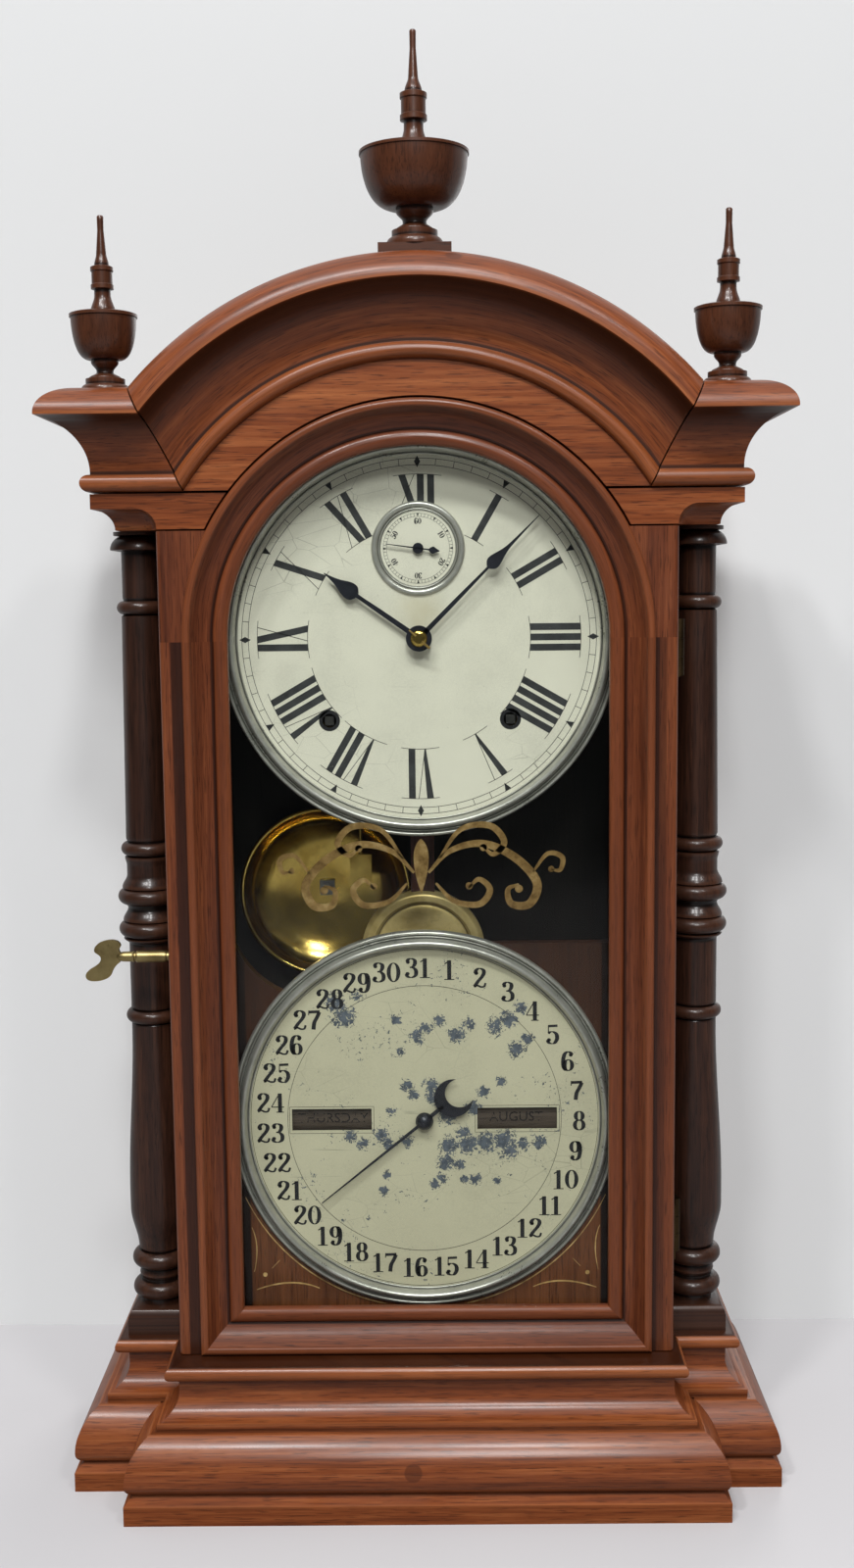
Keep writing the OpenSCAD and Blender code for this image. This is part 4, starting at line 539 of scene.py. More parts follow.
CASE_TONES = (0.080, 0.018, 0.005), (0.195, 0.048, 0.012), (0.340, 0.108, 0.033)
SIDE_TONES = (0.045, 0.011, 0.004), (0.110, 0.028, 0.009), (0.200, 0.058, 0.020)
DOOR_TONES = (0.055, 0.013, 0.005), (0.125, 0.032, 0.011), (0.225, 0.065, 0.022)
COLUMN_TONES = (0.011, 0.005, 0.003), (0.030, 0.011, 0.006), (0.068, 0.026, 0.013)
FINIAL_TONES = (0.040, 0.012, 0.005), (0.064, 0.020, 0.008), (0.095, 0.030, 0.012)
STAIN_TONES = (0.003, 0.003, 0.002), (0.006, 0.005, 0.004), (0.011, 0.008, 0.006)
ROOF_TONES = (0.03, 0.012, 0.007), (0.065, 0.022, 0.011), (0.11, 0.037, 0.018)
BOARD_TONES = (0.085, 0.026, 0.009), (0.160, 0.052, 0.017), (0.235, 0.082, 0.028)
ROD_TONES = (0.035, 0.010, 0.006), (0.075, 0.020, 0.011), (0.12, 0.035, 0.018)
PAPER_TONES = (0.055, 0.040, 0.030), (0.085, 0.064, 0.048), (0.11, 0.085, 0.062)
BARE_WOOD = (0.26, 0.15, 0.075)
PLINTH_H = 15.5
CREAM, AGED_CREAM = (0.77, 0.74, 0.61), (0.60, 0.56, 0.395)
case_wood = walnut("walnut_mouldings", "piece", CASE_TONES, 0.4, [(21, back(-9), 684, 8)], blur=0.27)
# The base wood gets painted shade on its top ledge under the door, and lighter crevice shade.
base_wood = walnut("walnut_base", "piece", CASE_TONES, 0.4, [(-7.5, back(-33.5), 29, 7)], crevice_dirt_and_shade=0.5,
                   ledge=(PLINTH_H, BASE_H))
level_wood = walnut("walnut_level_boards", "x", CASE_TONES)
upright_wood = walnut("walnut_upright_boards", "z", SIDE_TONES)
door_wood = walnut("walnut_door", "piece", DOOR_TONES)
rail_wood = walnut("walnut_rail", "piece", DOOR_TONES, 0.06)
column_wood = walnut("dark_walnut", "piece", COLUMN_TONES, 0.4)
finial_wood = walnut("walnut_turnings", "piece", FINIAL_TONES, 0.45, veined=0.12)
stained_board = walnut("stained_back", "z", STAIN_TONES, 0.0, rear=BARE_WOOD)
roof_wood = walnut("roof_board", "x", ROOF_TONES, 0.1)
# The brown board gets painted shade at its side edges and over its upper part.
brown_board = walnut("brown_board", "z", BOARD_TONES, 0.2, painted_shade=(101, CAL_Z - 70, CAL_Z + 100))
rod_wood = walnut("pendulum_rod_wood", "z", ROD_TONES, 0.3)
roller_paper = walnut("brown_roller_paper", "x", PAPER_TONES, 0.0)
nickel = metal("old_nickel", (0.40, 0.395, 0.35), (0.55, 0.54, 0.49), 0.26, 0.05, 0.6, groove=0.4, marks=0.02)
bright_brass = metal("polished_brass", (0.42, 0.27, 0.055), (0.70, 0.50, 0.14), 0.13, 0.3)
bob_brass = metal("bob_brass", (0.55, 0.40, 0.13), (0.86, 0.68, 0.30), 0.36, 0.25, metallic=0.6)
tarnished_brass = metal("tarnished_brass", (0.040, 0.025, 0.012), (0.085, 0.055, 0.026), 0.45, 0.6)
key_brass = metal("key_brass", (0.24, 0.18, 0.075), (0.40, 0.315, 0.14), 0.34, 0.3)
dull_brass = metal("aged_brass", (0.26, 0.165, 0.05), (0.46, 0.32, 0.11), 0.30, 0.5)
steel = metal("dark_steel", (0.10, 0.10, 0.10), (0.24, 0.235, 0.22), 0.30, 0.5)
# A darker copy of the steel for the arbor ends down in the winding holes: painted shade.
arbor_steel = metal("arbor_steel", (0.045, 0.045, 0.045), (0.11, 0.108, 0.10), 0.34, 0.5)
hand_steel = blued_steel()
numeral_ink = print_ink("dial_black", (0.036, 0.037, 0.038), 0.5)
line_ink = print_ink("fine_line_black", (0.055, 0.053, 0.046), 0.4)
date_ink = print_ink("calendar_black", (0.012, 0.012, 0.014), 0.4)
word_ink = print_ink("roller_black", (0.006, 0.005, 0.004), 0.1)
gold = gilding("gilding", 0.75, 1.0)
pale_gold = gilding("pinstripe_gilding", 0.05, 1.6)
glass = pane()
FLAKES = ((-46, 61, 11), (-50, 69, 9), (-38, 73, 6), (-16, 59, 5), (-4, 49, 7), (2, 54, 6), (9, 58, 6),
          (19, 50, 8), (26, 56, 6), (41, 54, 8), (49, 59, 8), (56, 66, 6), (53, 41, 8), (59, 47, 6),
          (-13, 40, 4), (-10, 20, 6), (-6, 15, 5), (4, 20, 7), (5, 13, 7), (-19, 5, 5), (34, 16, 6),
          (44, 22, 5), (13, 1, 8), (28, 7, 7), (22, -8, 7), (-25, -9, 7), (-22, -14, 6), (-43, -10, 6),
          (-36, -14, 6), (-10, -13, 6), (14, -16, 9), (25, -15, 10), (35, -14, 10), (46, -13, 11),
          (49, -19, 9), (57, -15, 6), (66, -14, 7), (12, -26, 8), (20, -27, 5), (10, -35, 6),
          (6, -39, 5), (29, -36, 6), (23, -36, 4), (42, -37, 4), (-22, -33, 4), (-24, -43, 5))
GLOW = (0, span("time_dial")[0][1], SPRING_Z + 16, 20)
time_enamel = enamel("time_dial_enamel", CREAM, glow=GLOW)
calendar_enamel = enamel("calendar_dial_enamel", AGED_CREAM, FLAKES)

# Base: plinth, bevel, swelling nose, fillet, hollow and top bead in one moulding.


def base_profile():
    """Distance out from the top bead against height: bevel, nose, wide swell, fillet, hollow, bead."""
    spread, bevel_z, swell_top, swell_r, nose_r, inset, bead_r = 21, 11, 46, 28.5, 6.5, 7, 4.25
    fillet = 4.2
    nose_z = PLINTH_H + 1 + nose_r * math.sin(math.radians(65))
    swell_end = math.degrees(math.asin((swell_top - nose_z) / swell_r))
    hollow_r = (fillet + inset) / (1 - math.cos(SWEEP))
    hollow_z = swell_top + 4 + hollow_r * math.sin(SWEEP)
    return join((spread, 0), (spread, bevel_z), (spread - 4.5, PLINTH_H),
                arc(spread - 7, nose_z, nose_r, -65, -13, 10),
                arc(spread - 29, nose_z, swell_r, 0, swell_end, 28), (fillet, swell_top),
                arc(hollow_r - inset, hollow_z, hollow_r, 260, 180, 24), (-inset, BASE_H - 2 * bead_r),
                arc(-bead_r, BASE_H - bead_r, bead_r, -90, 90, 20))


SWEEP = math.radians(80)
BLOCK_X, WING_X, WALL = 146, 180.5, 26
block_y, wing_y = back(-14.5), back(21)
rim = np.array([(BLOCK_X - WALL, CASE_BACK - WALL), (BLOCK_X - WALL, block_y + WALL),
                (WALL - BLOCK_X, block_y + WALL), (WALL - BLOCK_X, CASE_BACK - WALL)])
underside = np.stack([grid(*rim.T, z) for z in (BASE_H - WALL, 0)])
lay("moulded_base_block", Shape().moulded(
    base_profile(), [(BLOCK_X, CASE_BACK), (BLOCK_X, block_y), (-BLOCK_X, block_y), (-BLOCK_X, CASE_BACK)],
    [(1, 0), (1, -1), (-1, -1), (-1, 0)], underside), base_wood, "case", ("base_front_block",), bevel=0.45)
for side, which in SIDES:
    outer, inner = side * WING_X, side * BLOCK_X
    wing = Shape().moulded(
        base_profile(), [(outer, CASE_BACK), (outer, wing_y), (inner, wing_y), (inner, CASE_BACK)],
        [(side, 0), (side, -1), (side, -1), (side, 0)])
    lay("moulded_base_wing_" + which, wing, base_wood, "case", ("base_wing_" + which,), bevel=0.45)

# Columns: a square block and one long turning.


def column_profile(h):
    """Radius against height: foot rings, vase, ring, neck, twin rings, long shaft and capital."""
    return join((0, 15), (11.5, 15), bead(16.5, 24, 5), ease(11.5, 30, 12.6, 33), bead(16.5, 42, 5),
                ease(12.6, 48.5, 16.8, 72.5, 24), ease(16.8, 80.5, 12.6, 182.9, 40), bead(15.5, 187.7, 3.8),
                (12.6, 192.5), (12.6, 228.1), ease(12.6, 230.1, 15.5, 233.1), bead(18, 238.6, 4.5),
                ease(15.5, 243.6, 12.6, 251), bead(18, 257.5, 4.5), ease(15.5, 262.5, 12.6, 270),
                ease(12.6, 275.2, 13.5, 280.2), bead(15.5, 285, 3.8), (12.6, 290.8), (11, h - 46.8),
                bead(13.5, h - 42, 3.8), (10.2, h - 36.2), (10.2, h - 11), (16.2, h - 10),
                arc(8.2, h - 10, 8, 0, 70, 16), (14.2, h - 2), (14.2, h), (0, h))


foot = join((17.4, 0), oval(13.9, 8, 3.5, 7, 0, 90)) + (0, BASE_H)
for which in ("right", "left"):
    x, y = middle_of("column_" + which)[:2]
    column = Shape().turned(column_profile(FRIEZE_Z - BASE_H), (x, y, BASE_H), n=80)
    column.moulded(foot, [(x, y)] * 4, [(1, 1), (1, -1), (-1, -1), (-1, 1)])
    lay("turned_column_" + which, column, column_wood, "case", ("column_" + which,), crease=50)

# Cornice: bead, hollow and rounded top, bent round the arch and mitred to level wings.
CORNICE_R, MITRE_X, MITRE_A, MITRE_GAP = 149, 125.4, math.radians(63.8), 0.9
COVE_FOOT = CORNICE_R + 10
COVE_R = 24 / (1 - math.cos(SWEEP))
COVE_SHADE = 0.36
ARRIS_R = COVE_FOOT + COVE_R * math.sin(SWEEP) + 0.8
FRIEZE_X = span("frieze_right")[1][0]
RETURN_X = span("back_board")[1][0]
frieze_front, cornice_rear = back(10), back(40)
cornice = fine(join(arc(0, CORNICE_R + 4.5, 4.5, -90, 90, 18), (-0.5, CORNICE_R + 9),
                    arc(COVE_R - 0.5, COVE_FOOT, COVE_R, 180, 100, 28),
                    oval(2.5, ARRIS_R, 21, 15, 0, 90, 24)))


def dusk(profile):
    """Hollows close by, and a share of painted shade that grows up the cove with the square of the height,
    darkest under the crown.
    """
    up = (profile[:, 1] - COVE_FOOT) / (ARRIS_R - COVE_FOOT)
    return hollows(profile) + COVE_SHADE * np.where((up > 0) & (up < 0.98), up ** 2, 0)


def mitre(r):
    """Where the circle of radius r meets the sloping mitre line: half width and height."""
    low = math.sqrt(CORNICE_R ** 2 - MITRE_X ** 2)
    run = MITRE_X * math.cos(MITRE_A) + low * math.sin(MITRE_A)
    reach = np.sqrt(run ** 2 + r ** 2 - CORNICE_R ** 2) - run
    return MITRE_X + reach * math.cos(MITRE_A), SPRING_Z + low + reach * math.sin(MITRE_A)


def cornice_arch():
    """Each profile point follows its own circle between the two mitres, closed along the back."""
    rear = frieze_front - cornice_rear
    loop = join(cornice, (rear, cornice[-1, 1]), (rear, CORNICE_R))
    half, height = mitre(loop[:, 1])
    end = np.arctan2(height - SPRING_Z, half) + MITRE_GAP / loop[:, 1]
    turn = np.linspace(-1, 1, 161)[:, None]
    a = np.pi / 2 - turn * (np.pi / 2 - end)[None]
    out, r = loop.T
    points = grid(r * np.cos(a), frieze_front - out, SPRING_Z + r * np.sin(a))
    grain = grid(r * a, run_length(loop), 0)
    return Shape().skin(points, grain, hollow=dusk(loop)[None])


def cornice_wing(side):
    """The profile on the mitre's heights, round the front corner and back along the return."""
    half, height = mitre(cornice[:, 1])
    out = cornice[:, 0]
    inner = np.minimum(half, RETURN_X)
    plan = [(FRIEZE_X + out, CASE_BACK), (FRIEZE_X + out, frieze_front - out), (half, frieze_front - out),
            (inner, cornice_rear), (RETURN_X, cornice_rear), (RETURN_X, CASE_BACK)]
    points = np.stack([grid(side * x, y, height) for x, y in plan], 1)
    along = np.array([0, 150, 210, 230, 240, 330.0]) + side * 90
    grain = grid(along, run_length(cornice)[:, None], 0)
    return Shape().skin(points, grain, hollow=dusk(cornice)[:, None])


lay("arched_cornice", cornice_arch(), case_wood, "case", ("cornice_arch",))
for side, which in SIDES:
    lay("level_cornice_" + which, cornice_wing(side), case_wood, "case", ("cornice_wing_" + which,))

# Finials: foot, stem, cup with a thin lip, and spire.


def finial_profile(stem_h, cup_r, cup_h, spire_h):
    """Radius against height: domed foot, waisted stem, full cup with a lip, collar and tapering spire."""
    foot, stem, bowl = 0.22 * cup_r + 9.4, 0.17 * cup_r + 1.6, 0.25 * cup_r + 3
    step, collar = 0.8 * foot, 0.11 * cup_r + 4.2
    neck, rim, tip = 0.72 * collar, stem_h + cup_h, 1.8
    dome = oval(step, 0.8, foot - step, 0.2 * stem_h, 0, 90, 14)
    a = np.radians(np.linspace(0, 84, 30))
    cup = grid(bowl + (cup_r - bowl) * np.sin(a) ** 0.75, stem_h + cup_h * (1 - np.cos(a)))
    spire = np.array([[0.72, 0.25], [1, 0.26], [1, 0.30], [0.91, 0.31], [0.91, 0.43], [1, 0.44], [1, 0.48]])
    spire = spire * (collar, spire_h) + (0, rim)
    return join((0, 0), (foot, 0), dome, (step, 0.42 * stem_h),
                ease(0.82 * step, 0.45 * stem_h, stem, 0.62 * stem_h),
                ease(stem, 0.66 * stem_h, bowl, 0.93 * stem_h), cup, (cup_r, rim - 1.5),
                (cup_r + 0.7, rim - 1.5), (cup_r + 0.7, rim), (cup_r - 1, rim + 0.6),
                ease(1.1 * collar, rim + 1, neck, rim + 0.2 * spire_h), spire,
                ease(0.64 * collar, rim + 0.5 * spire_h, 1.5 * tip, rim + 0.62 * spire_h),
                (0.95 * tip, rim + 0.85 * spire_h), (tip, rim + spire_h - 0.6), (tip - 0.5, rim + spire_h),
                (0, rim + spire_h))


def finial(node, sizes, foot_z):
    """A finial turned on a solid's upright axis."""
    x, y = middle_of(node)[:2]
    return Shape().turned(finial_profile(*sizes), (x, y, foot_z))


for which in ("right", "left"):
    node = "side_finial_" + which
    lay("turned_finial_" + which, finial(node, (17.5, 17.6, 24, 52), span(node)[0][2]), finial_wood, "case",
        (node,), crease=45)
PLATE_X, PLATE_Y, PLATE_H = 20, 15, 10.5
CORNICE_TOP = cornice[-1, 1]
plate_top = SPRING_Z + CORNICE_TOP + PLATE_H
plate_depth = middle_of("top_finial")[1] - DOOR_FRONT
plate_x = np.linspace(-PLATE_X, PLATE_X, 9)
cope = SPRING_Z + np.sqrt(CORNICE_TOP ** 2 - plate_x ** 2)
plate = join(grid(plate_x, cope), (PLATE_X, plate_top), (-PLATE_X, plate_top))
crown = finial("top_finial", (20.5, 29.5, 30, 64), plate_top)
crown.slab(plate, plate_depth - PLATE_Y, plate_depth + PLATE_Y)
lay("turned_top_finial", crown, finial_wood, "case", ("top_finial",), crease=45)

# Door: a half-round lip, a sagging hollow and a rounded outer edge run round the glass.
OPEN_X, MOULD_W, STILE_W, DOOR_T, FIELD_Y = 103.5, 24, 36.5, 24, 3.5
REBATE_X, GLASS_Y = 6, 13
OPEN_Z = DOOR_Z + MOULD_W
DOOR_X = OPEN_X + STILE_W
SHOULDER_Z = span("door_stile_right")[1][2]


def moulding_front():
    """Distance out from the opening against depth: half-round lip, sagging hollow, rounded outer edge."""
    t = np.linspace(0, 1, 18)
    lip = grid(4.1 - 4.1 * np.cos(np.pi * t), 10.6 - 3.0 * np.sin(np.pi * t))
    cove = grid(8.6 + 10.7 * t, 10.4 - 9.2 * t + 1.5 * np.sin(np.pi * t))
    return join((0, GLASS_Y), lip, cove, (19.7, 0.5), (20.4, 0.1), arc(MOULD_W - 2.4, 2.4, 2.4, 270, 360, 14))


rebate = [(REBATE_X, DOOR_T), (REBATE_X, GLASS_Y)]
outer_edge = arc(STILE_W - 3, 6.5, 3, -88, -4, 8)
moulding_loop = fine(join(moulding_front(), (MOULD_W, DOOR_T), rebate))
stile_loop = fine(join(moulding_front(), (MOULD_W, FIELD_Y), (STILE_W - 4.3, FIELD_Y), outer_edge,
                       (STILE_W, DOOR_T), rebate))


def door_stile(side):
    """The section carried up from the mitre to the arch's springing, then the shoulder beside it."""
    w, y = stile_loop[:, 0], back(stile_loop[:, 1])
    foot = DOOR_Z + np.maximum(0, MOULD_W - w)
    rows = np.linspace(0, 1, 3)[:, None]
    z = foot + (SPRING_Z - foot) * rows
    points = grid(side * (OPEN_X + w), y, z)
    grain = grid(z, run_length(stile_loop) + side * 60, 0)
    # Painted shade on the recessed field beside the outer bead, deeper on the left stile than on the right.
    field_shade = np.interp(w - MOULD_W, [0, 0.2, 6.4, 7.2], [0, 0.34, 0.3, 0]) * (y < back(DOOR_T / 2))
    hollow = hollows(stile_loop) + field_shade * (1 if side < 0 else 0.7)
    stile = Shape().skin(points, grain, hollow=hollow[None])
    z = np.linspace(SPRING_Z, SHOULDER_Z, 40)[:, None]
    inner = np.sqrt((OPEN_X + MOULD_W) ** 2 - (z - SPRING_Z) ** 2)
    strip = outer_edge + (OPEN_X, 0)
    field = np.concatenate([[DOOR_X - 4.3], strip[:, 0], [DOOR_X]])
    xs = np.concatenate([inner, np.broadcast_to(field, (len(z), len(field))), inner], 1)
    depths = np.concatenate([[FIELD_Y, FIELD_Y], strip[:, 1], [DOOR_T, DOOR_T]])
    return stile.skin(grid(side * xs, back(depths), z), grid(z + 40, xs + side * 200, 0))


def door_arch():
    """The moulding turned through half a circle over the glass."""
    a = np.linspace(0, np.pi, 145)[:, None]
    r = OPEN_X + moulding_loop[:, 0]
    points = grid(r * np.cos(a), back(moulding_loop[:, 1]), SPRING_Z + r * np.sin(a))
    grain = grid(r * a, run_length(moulding_loop), 0)
    return Shape().skin(points, grain, hollow=hollows(moulding_loop)[None])


def door_rail():
    """The moulding along the foot, mitred at both ends."""
    w = moulding_loop[:, 0]
    ends = np.array([-1.0, 1.0])[:, None]
    points = grid(ends * (OPEN_X + w), back(moulding_loop[:, 1]), OPEN_Z - w)
    grain = grid(ends * (OPEN_X + w), run_length(moulding_loop), 0)
    return Shape().skin(points, grain, hollow=hollows(moulding_loop)[None])


lay("moulded_door_arch", door_arch(), door_wood, "door", ("door_arch",))
lay("moulded_door_rail", door_rail(), rail_wood, "door", ("door_bottom_rail",))
for side, which in SIDES:
    lay("moulded_stile_" + which, door_stile(side), door_wood, "door", ("door_stile_" + which,))

# Bezels, bell and bob.


def beads(r, face, rows, n):
    """Half ovals on a ring of radius r; a row gives place, half width, foot and height before the face."""
    return [oval(r + at, face - low, half, -high, 0, 180, n) for at, half, low, high in rows]


def ring(loop, z, n):
    """A loop of (radius, depth) turned about the middle of a dial at height z."""
    return Shape().turned(loop[::-1] + (0, DOOR_FRONT), (0, 0, z), "y", n)


def dial_bezel(z, face):
    """A turned ring: outer band, thin bead, tall main bead and thin inner bead, each half an ellipse."""
    rows = ((5.9, 1.3, 0.6, 2.0), (3.85, 0.5, 0.8, 1.5), (0.5, 2.5, 0.9, 5.4), (-2.75, 0.45, 0.3, 0.8))
    rear, seat = face + 2, DIAL_R + 0.2
    return ring(join((DIAL_R + 7.2, rear), *beads(DIAL_R, face, rows, 32), (DIAL_R - 3.2, face), (seat, face),
                     (seat, rear)), z, 240)


TIME_FACE, CAL_FACE = depth_of("time_dial"), depth_of("calendar_dial")
SECONDS_BEADS = (24.2, 1.8, 0.0, 1.9), (21.7, 0.5, 0.2, 0.7), (20.85, 0.2, 0.0, 0.4)
lay("time_dial_bezel", dial_bezel(SPRING_Z, TIME_FACE), nickel, "case", ("time_bezel",))
lay("calendar_dial_bezel", dial_bezel(CAL_Z, CAL_FACE), nickel, "case", ("calendar_bezel",))
lay("seconds_dial_bezel", ring(join(*beads(0, TIME_FACE, SECONDS_BEADS, 24)), SECONDS_Z, 128), nickel, "case",
    ("seconds_bezel",))


def bell_loop(low):
    """A shallow dish open to the front: sine against cosine, with a rolled lip."""
    outer, inner = oval(9, 0, 41.5, 19, 86, 0, 39), oval(9, 0, 39.9, 17.4, 86, 0, 39)
    lip = arc(50.5, 0, 1.6, 60, -200, 20)
    return join((3, 19), outer[:-2], lip, inner[::-1][3:], (3, 17.4))[::-1] + (0, low)


x, _, z = middle_of("bell")
lay("brass_bell", Shape().turned(bell_loop(span("bell")[0][1] + 1.6), (x, 0, z), "y", 128), bright_brass,
    "case", ("bell",))


def bob_loop(mid):
    """A shallow dome inside a raised bevelled rim, the same on both faces."""
    a = np.radians(np.linspace(0, 90, 20))
    face = join(grid(28.5 * np.sin(a), 6 - 2.2 * (1 - np.cos(a))), (30.5, 5), (34.5, 4.4), (37, 2))
    return join(face, face[::-1] * (1, -1))[::-1] + (0, mid)


_, y, z = middle_of("pendulum_bob")
lay("brass_bob", Shape().turned(bob_loop(y), (0, 0, z), "y", 128), bob_brass, "pendulum", ("pendulum_bob",))

# Latch key: a flat two-lobed bow, a grooved tube and a spindle with its hook inside the stile.
LATCH_Z, LATCH_Y, HOOK_X = DOOR_Z + 228.2, 13, OPEN_X + 20.5


def key_bow():
    """The bow's outline on the left of the door, a smooth closed curve through measured points."""
    out = [(167.9, 2.4), (168.5, 4.3), (167.5, 6.2), (168.1, 7.9), (169.8, 9.1), (172.2, 9.6), (175.6, 9.3),
           (179, 8.2), (181.4, 6.3), (182.3, 4.4), (182, 2.7), (180.1, 1.3), (178.9, -0.1), (178.9, -1.8),
           (180, -3.6), (182.3, -5.4), (185.1, -7.1), (187, -9), (187.5, -10.9), (186.7, -12.6),
           (184.8, -13.5), (182.4, -13.7), (179.3, -13.4), (175.9, -12.3), (173.6, -10.6), (172.6, -8.4),
           (171.5, -6.4), (169.8, -4.4), (168.1, -3)]
    return through(out, 4) * (-1, 1) + (0, LATCH_Z)


key = Shape().slab(key_bow(), LATCH_Y - 1.1, LATCH_Y + 1.1)
key_turning = join((0, 169.8), (1.2, 169.8), (2.3, 168.6), (2.75, 166.5), (2.9, 161), (3.2, 160.2),
                   (2.65, 159.8), (2.65, 159.2), (3.1, 158.9), (3.35, 158.2), (3.35, 142.4), (3.1, 142),
                   (2.65, 142), (2.65, HOOK_X - 4), (0, HOOK_X - 4)) * (1, -1)
key.turned(key_turning, (0, back(LATCH_Y), LATCH_Z), "x", 40)
hook_edge = join(arc(0, 0, 19, -80, -35, 20), arc(0, 0, 15, -35, -76, 20), arc(0, 0, 4, -76, 100, 12),
                 arc(0, 0, 17, -94, -94, 0)) + (back(LATCH_Y), LATCH_Z)
key.skin(np.stack([grid(x, *hook_edge.T) for x in (2 - HOOK_X, -2 - HOOK_X)]))
lay("two_lobed_key", key, key_brass, "latch", ("latch_key",), bevel=0.2, crease=40)

# Hands. An outline along +b is turned to its clock angle about a centre.


def on_dial(points, clock, centre_z, centre_x=0.0):
    """Turns (a, b) points clockwise by the clock angle: x = a cos + b sin, z = b cos - a sin."""
    points = np.asarray(points, float)
    t = math.radians(clock)
    return grid(centre_x + points[:, 0] * math.cos(t) + points[:, 1] * math.sin(t),
                centre_z - points[:, 0] * math.sin(t) + points[:, 1] * math.cos(t))


def blade(stations, n=10):
    """An outline from (outward, half width) stations, smoothed and mirrored."""
    half = through(stations, n)
    right = grid(half[:, 1], half[:, 0])
    return join(right, (right * np.array([-1, 1]))[::-1])


def disc(r, a=0.0, b=0.0, n=40):
    """A round outline about (a, b)."""
    t = np.linspace(0, 2 * np.pi, n, endpoint=False)
    return grid(a + r * np.cos(t), b + r * np.sin(t))


def hand(name, outlines, clock, centre_z, body, node, thick=0.8):
    """Flat steel outlines laid together at one depth."""
    shape, depth = Shape(), depth_of(node)
    for outline in outlines:
        shape.slab(on_dial(outline, clock, centre_z), depth, depth + thick)
    lay(name, shape, hand_steel, body, (node,), bevel=0.14, crease=50)


minute_blade = blade([(0, 1.4), (30, 1.15), (52.6, 0.75), (54.4, 1.2), (56.4, 3.1), (58.6, 3.7), (61.5, 3.2),
                      (66, 1.9), (71, 1.0), (80, 0.6), (94, 0.2)])
hour_blade = blade([(0, 1.5), (25, 1.35), (40, 1.1), (41.6, 1.9), (43.6, 4.1), (46.3, 4.7), (49.5, 4.0),
                    (54, 2.2), (58.5, 1.0), (63.5, 0.2)])
seconds_blade = blade([(0, 0.45), (10, 0.32), (18, 0.2)])
seconds_tail = blade([(0, 0.5), (5.6, 0.45), (6.6, 1.1), (8.3, 2.0), (9.8, 1.3), (12, 0.2)]) * (1, -1)
hand("blued_minute_hand", [minute_blade, disc(7.2)], 45, SPRING_Z, "minute", "minute_hand")
hand("blued_hour_hand", [hour_blade, disc(6.6)], 305, SPRING_Z, "hour", "hour_hand")
hand("blued_seconds_hand", [seconds_blade, seconds_tail, disc(3)], 278, SECONDS_Z, "escape", "seconds_hand")


def crescent():
    """A moon behind the hub: an outer circle less a smaller one set further out."""
    outer_r, bite_r, outer_at, bite_at = 11.1, 8.4, -21.6, -26.2
    gap = outer_at - bite_at
    cut = math.degrees(math.acos((outer_r ** 2 + gap ** 2 - bite_r ** 2) / (2 * outer_r * gap)))
    bite = math.degrees(math.acos((bite_r ** 2 + gap ** 2 - outer_r ** 2) / (2 * bite_r * gap)))
    outside = arc(0, outer_at, outer_r, -90 + cut, 270 - cut, 60)
    inside = arc(0, bite_at, bite_r, 90 + bite, 90 - bite, 40)
    return join(outside, inside[1:-1])


DATE_FRONT = 32.0
date = Shape()
for outline in (blade([(0, 0.9), (40, 0.6), (77, 0.25)]), crescent(), disc(5.1),
                [(-1.1, 0), (1.1, 0), (1.1, -14), (-1.1, -14)]):
    date.slab(on_dial(outline, 231, CAL_Z), DATE_FRONT, DATE_FRONT + 0.8)
rear, seat = span("date_hand")[1][1], back(DATE_FRONT) + 0.4
dome = oval(0, back(DATE_FRONT), 4.7, -4.2, 0, 90, 13)
dome[-1, 0] = 0
date.turned(join((0, rear), (2, rear), (2, seat), (4.7, seat), dome), (0, 0, CAL_Z), "y", 48)
lay("blued_date_hand", date, hand_steel, "date", ("date_hand",), crease=50)

minute_y = span("minute_hand")[0][1]
washer = np.array([(0, -2.1), (2.6, -2.1), (2.9, -2.1), (4.0, -1.5), (4.6, -0.7), (4.6, -0.2), (0, -0.2)])
lay("domed_washer", Shape().turned(washer + (0, minute_y), (0, 0, SPRING_Z), "y", 48), bright_brass, "minute")


def taper_pin():
    """A small circle carried along a sloping line through the arbor, wider at one end."""
    t = np.linspace(-7.2, 8.0, 12)[:, None, None]
    slope = math.radians(-42)
    way = np.array([math.cos(slope), 0, math.sin(slope)])
    a = np.linspace(0, 2 * np.pi, 14, endpoint=False)[:, None]
    circle = np.array([-way[2], 0, way[0]]) * np.cos(a) + np.array([0, 1, 0]) * np.sin(a)
    r = np.interp(t, [-7.2, 8.0], [0.45, 0.75])
    return Shape().skin((0, minute_y - 2.9, SPRING_Z) + t * way + r * circle)


lay("taper_pin", taper_pin(), dull_brass, "minute")

# Dial printing, as thin films on the enamel.


def chapter_strokes(numeral):
    """Strokes of a Roman numeral as outlines of (across, place from inner 0 to outer 1)."""
    wide = {"I": 5.7, "V": 9.4, "X": 9.0}
    total = sum(wide[c] for c in numeral)
    at, thick, thin = -total / 2, [], []
    for letter in numeral:
        mid = at + wide[letter] / 2
        if letter == "I":
            thick.append([(mid - 1.9, 0), (mid + 1.9, 0), (mid + 1.9, 1), (mid - 1.9, 1)])
        elif letter == "V":
            thick.append([(mid - 0.3, 0), (mid + 0.3, 0), (mid + 0.9, 0.2), (mid - 0.8, 1), (mid - 4.6, 1)])
            thin.append([(mid + 0.1, 0), (mid + 0.45, 0), (mid + 4.0, 1), (mid + 3.6, 1)])
        else:
            thick.append([(mid + 1.2, 0), (mid + 5.0, 0), (mid - 1.0, 1), (mid - 4.8, 1)])
            thin.append([(mid - 3.9, 0), (mid - 3.5, 0), (mid + 4.2, 1), (mid + 3.8, 1)])
        at += wide[letter]
    return thick, thin, total


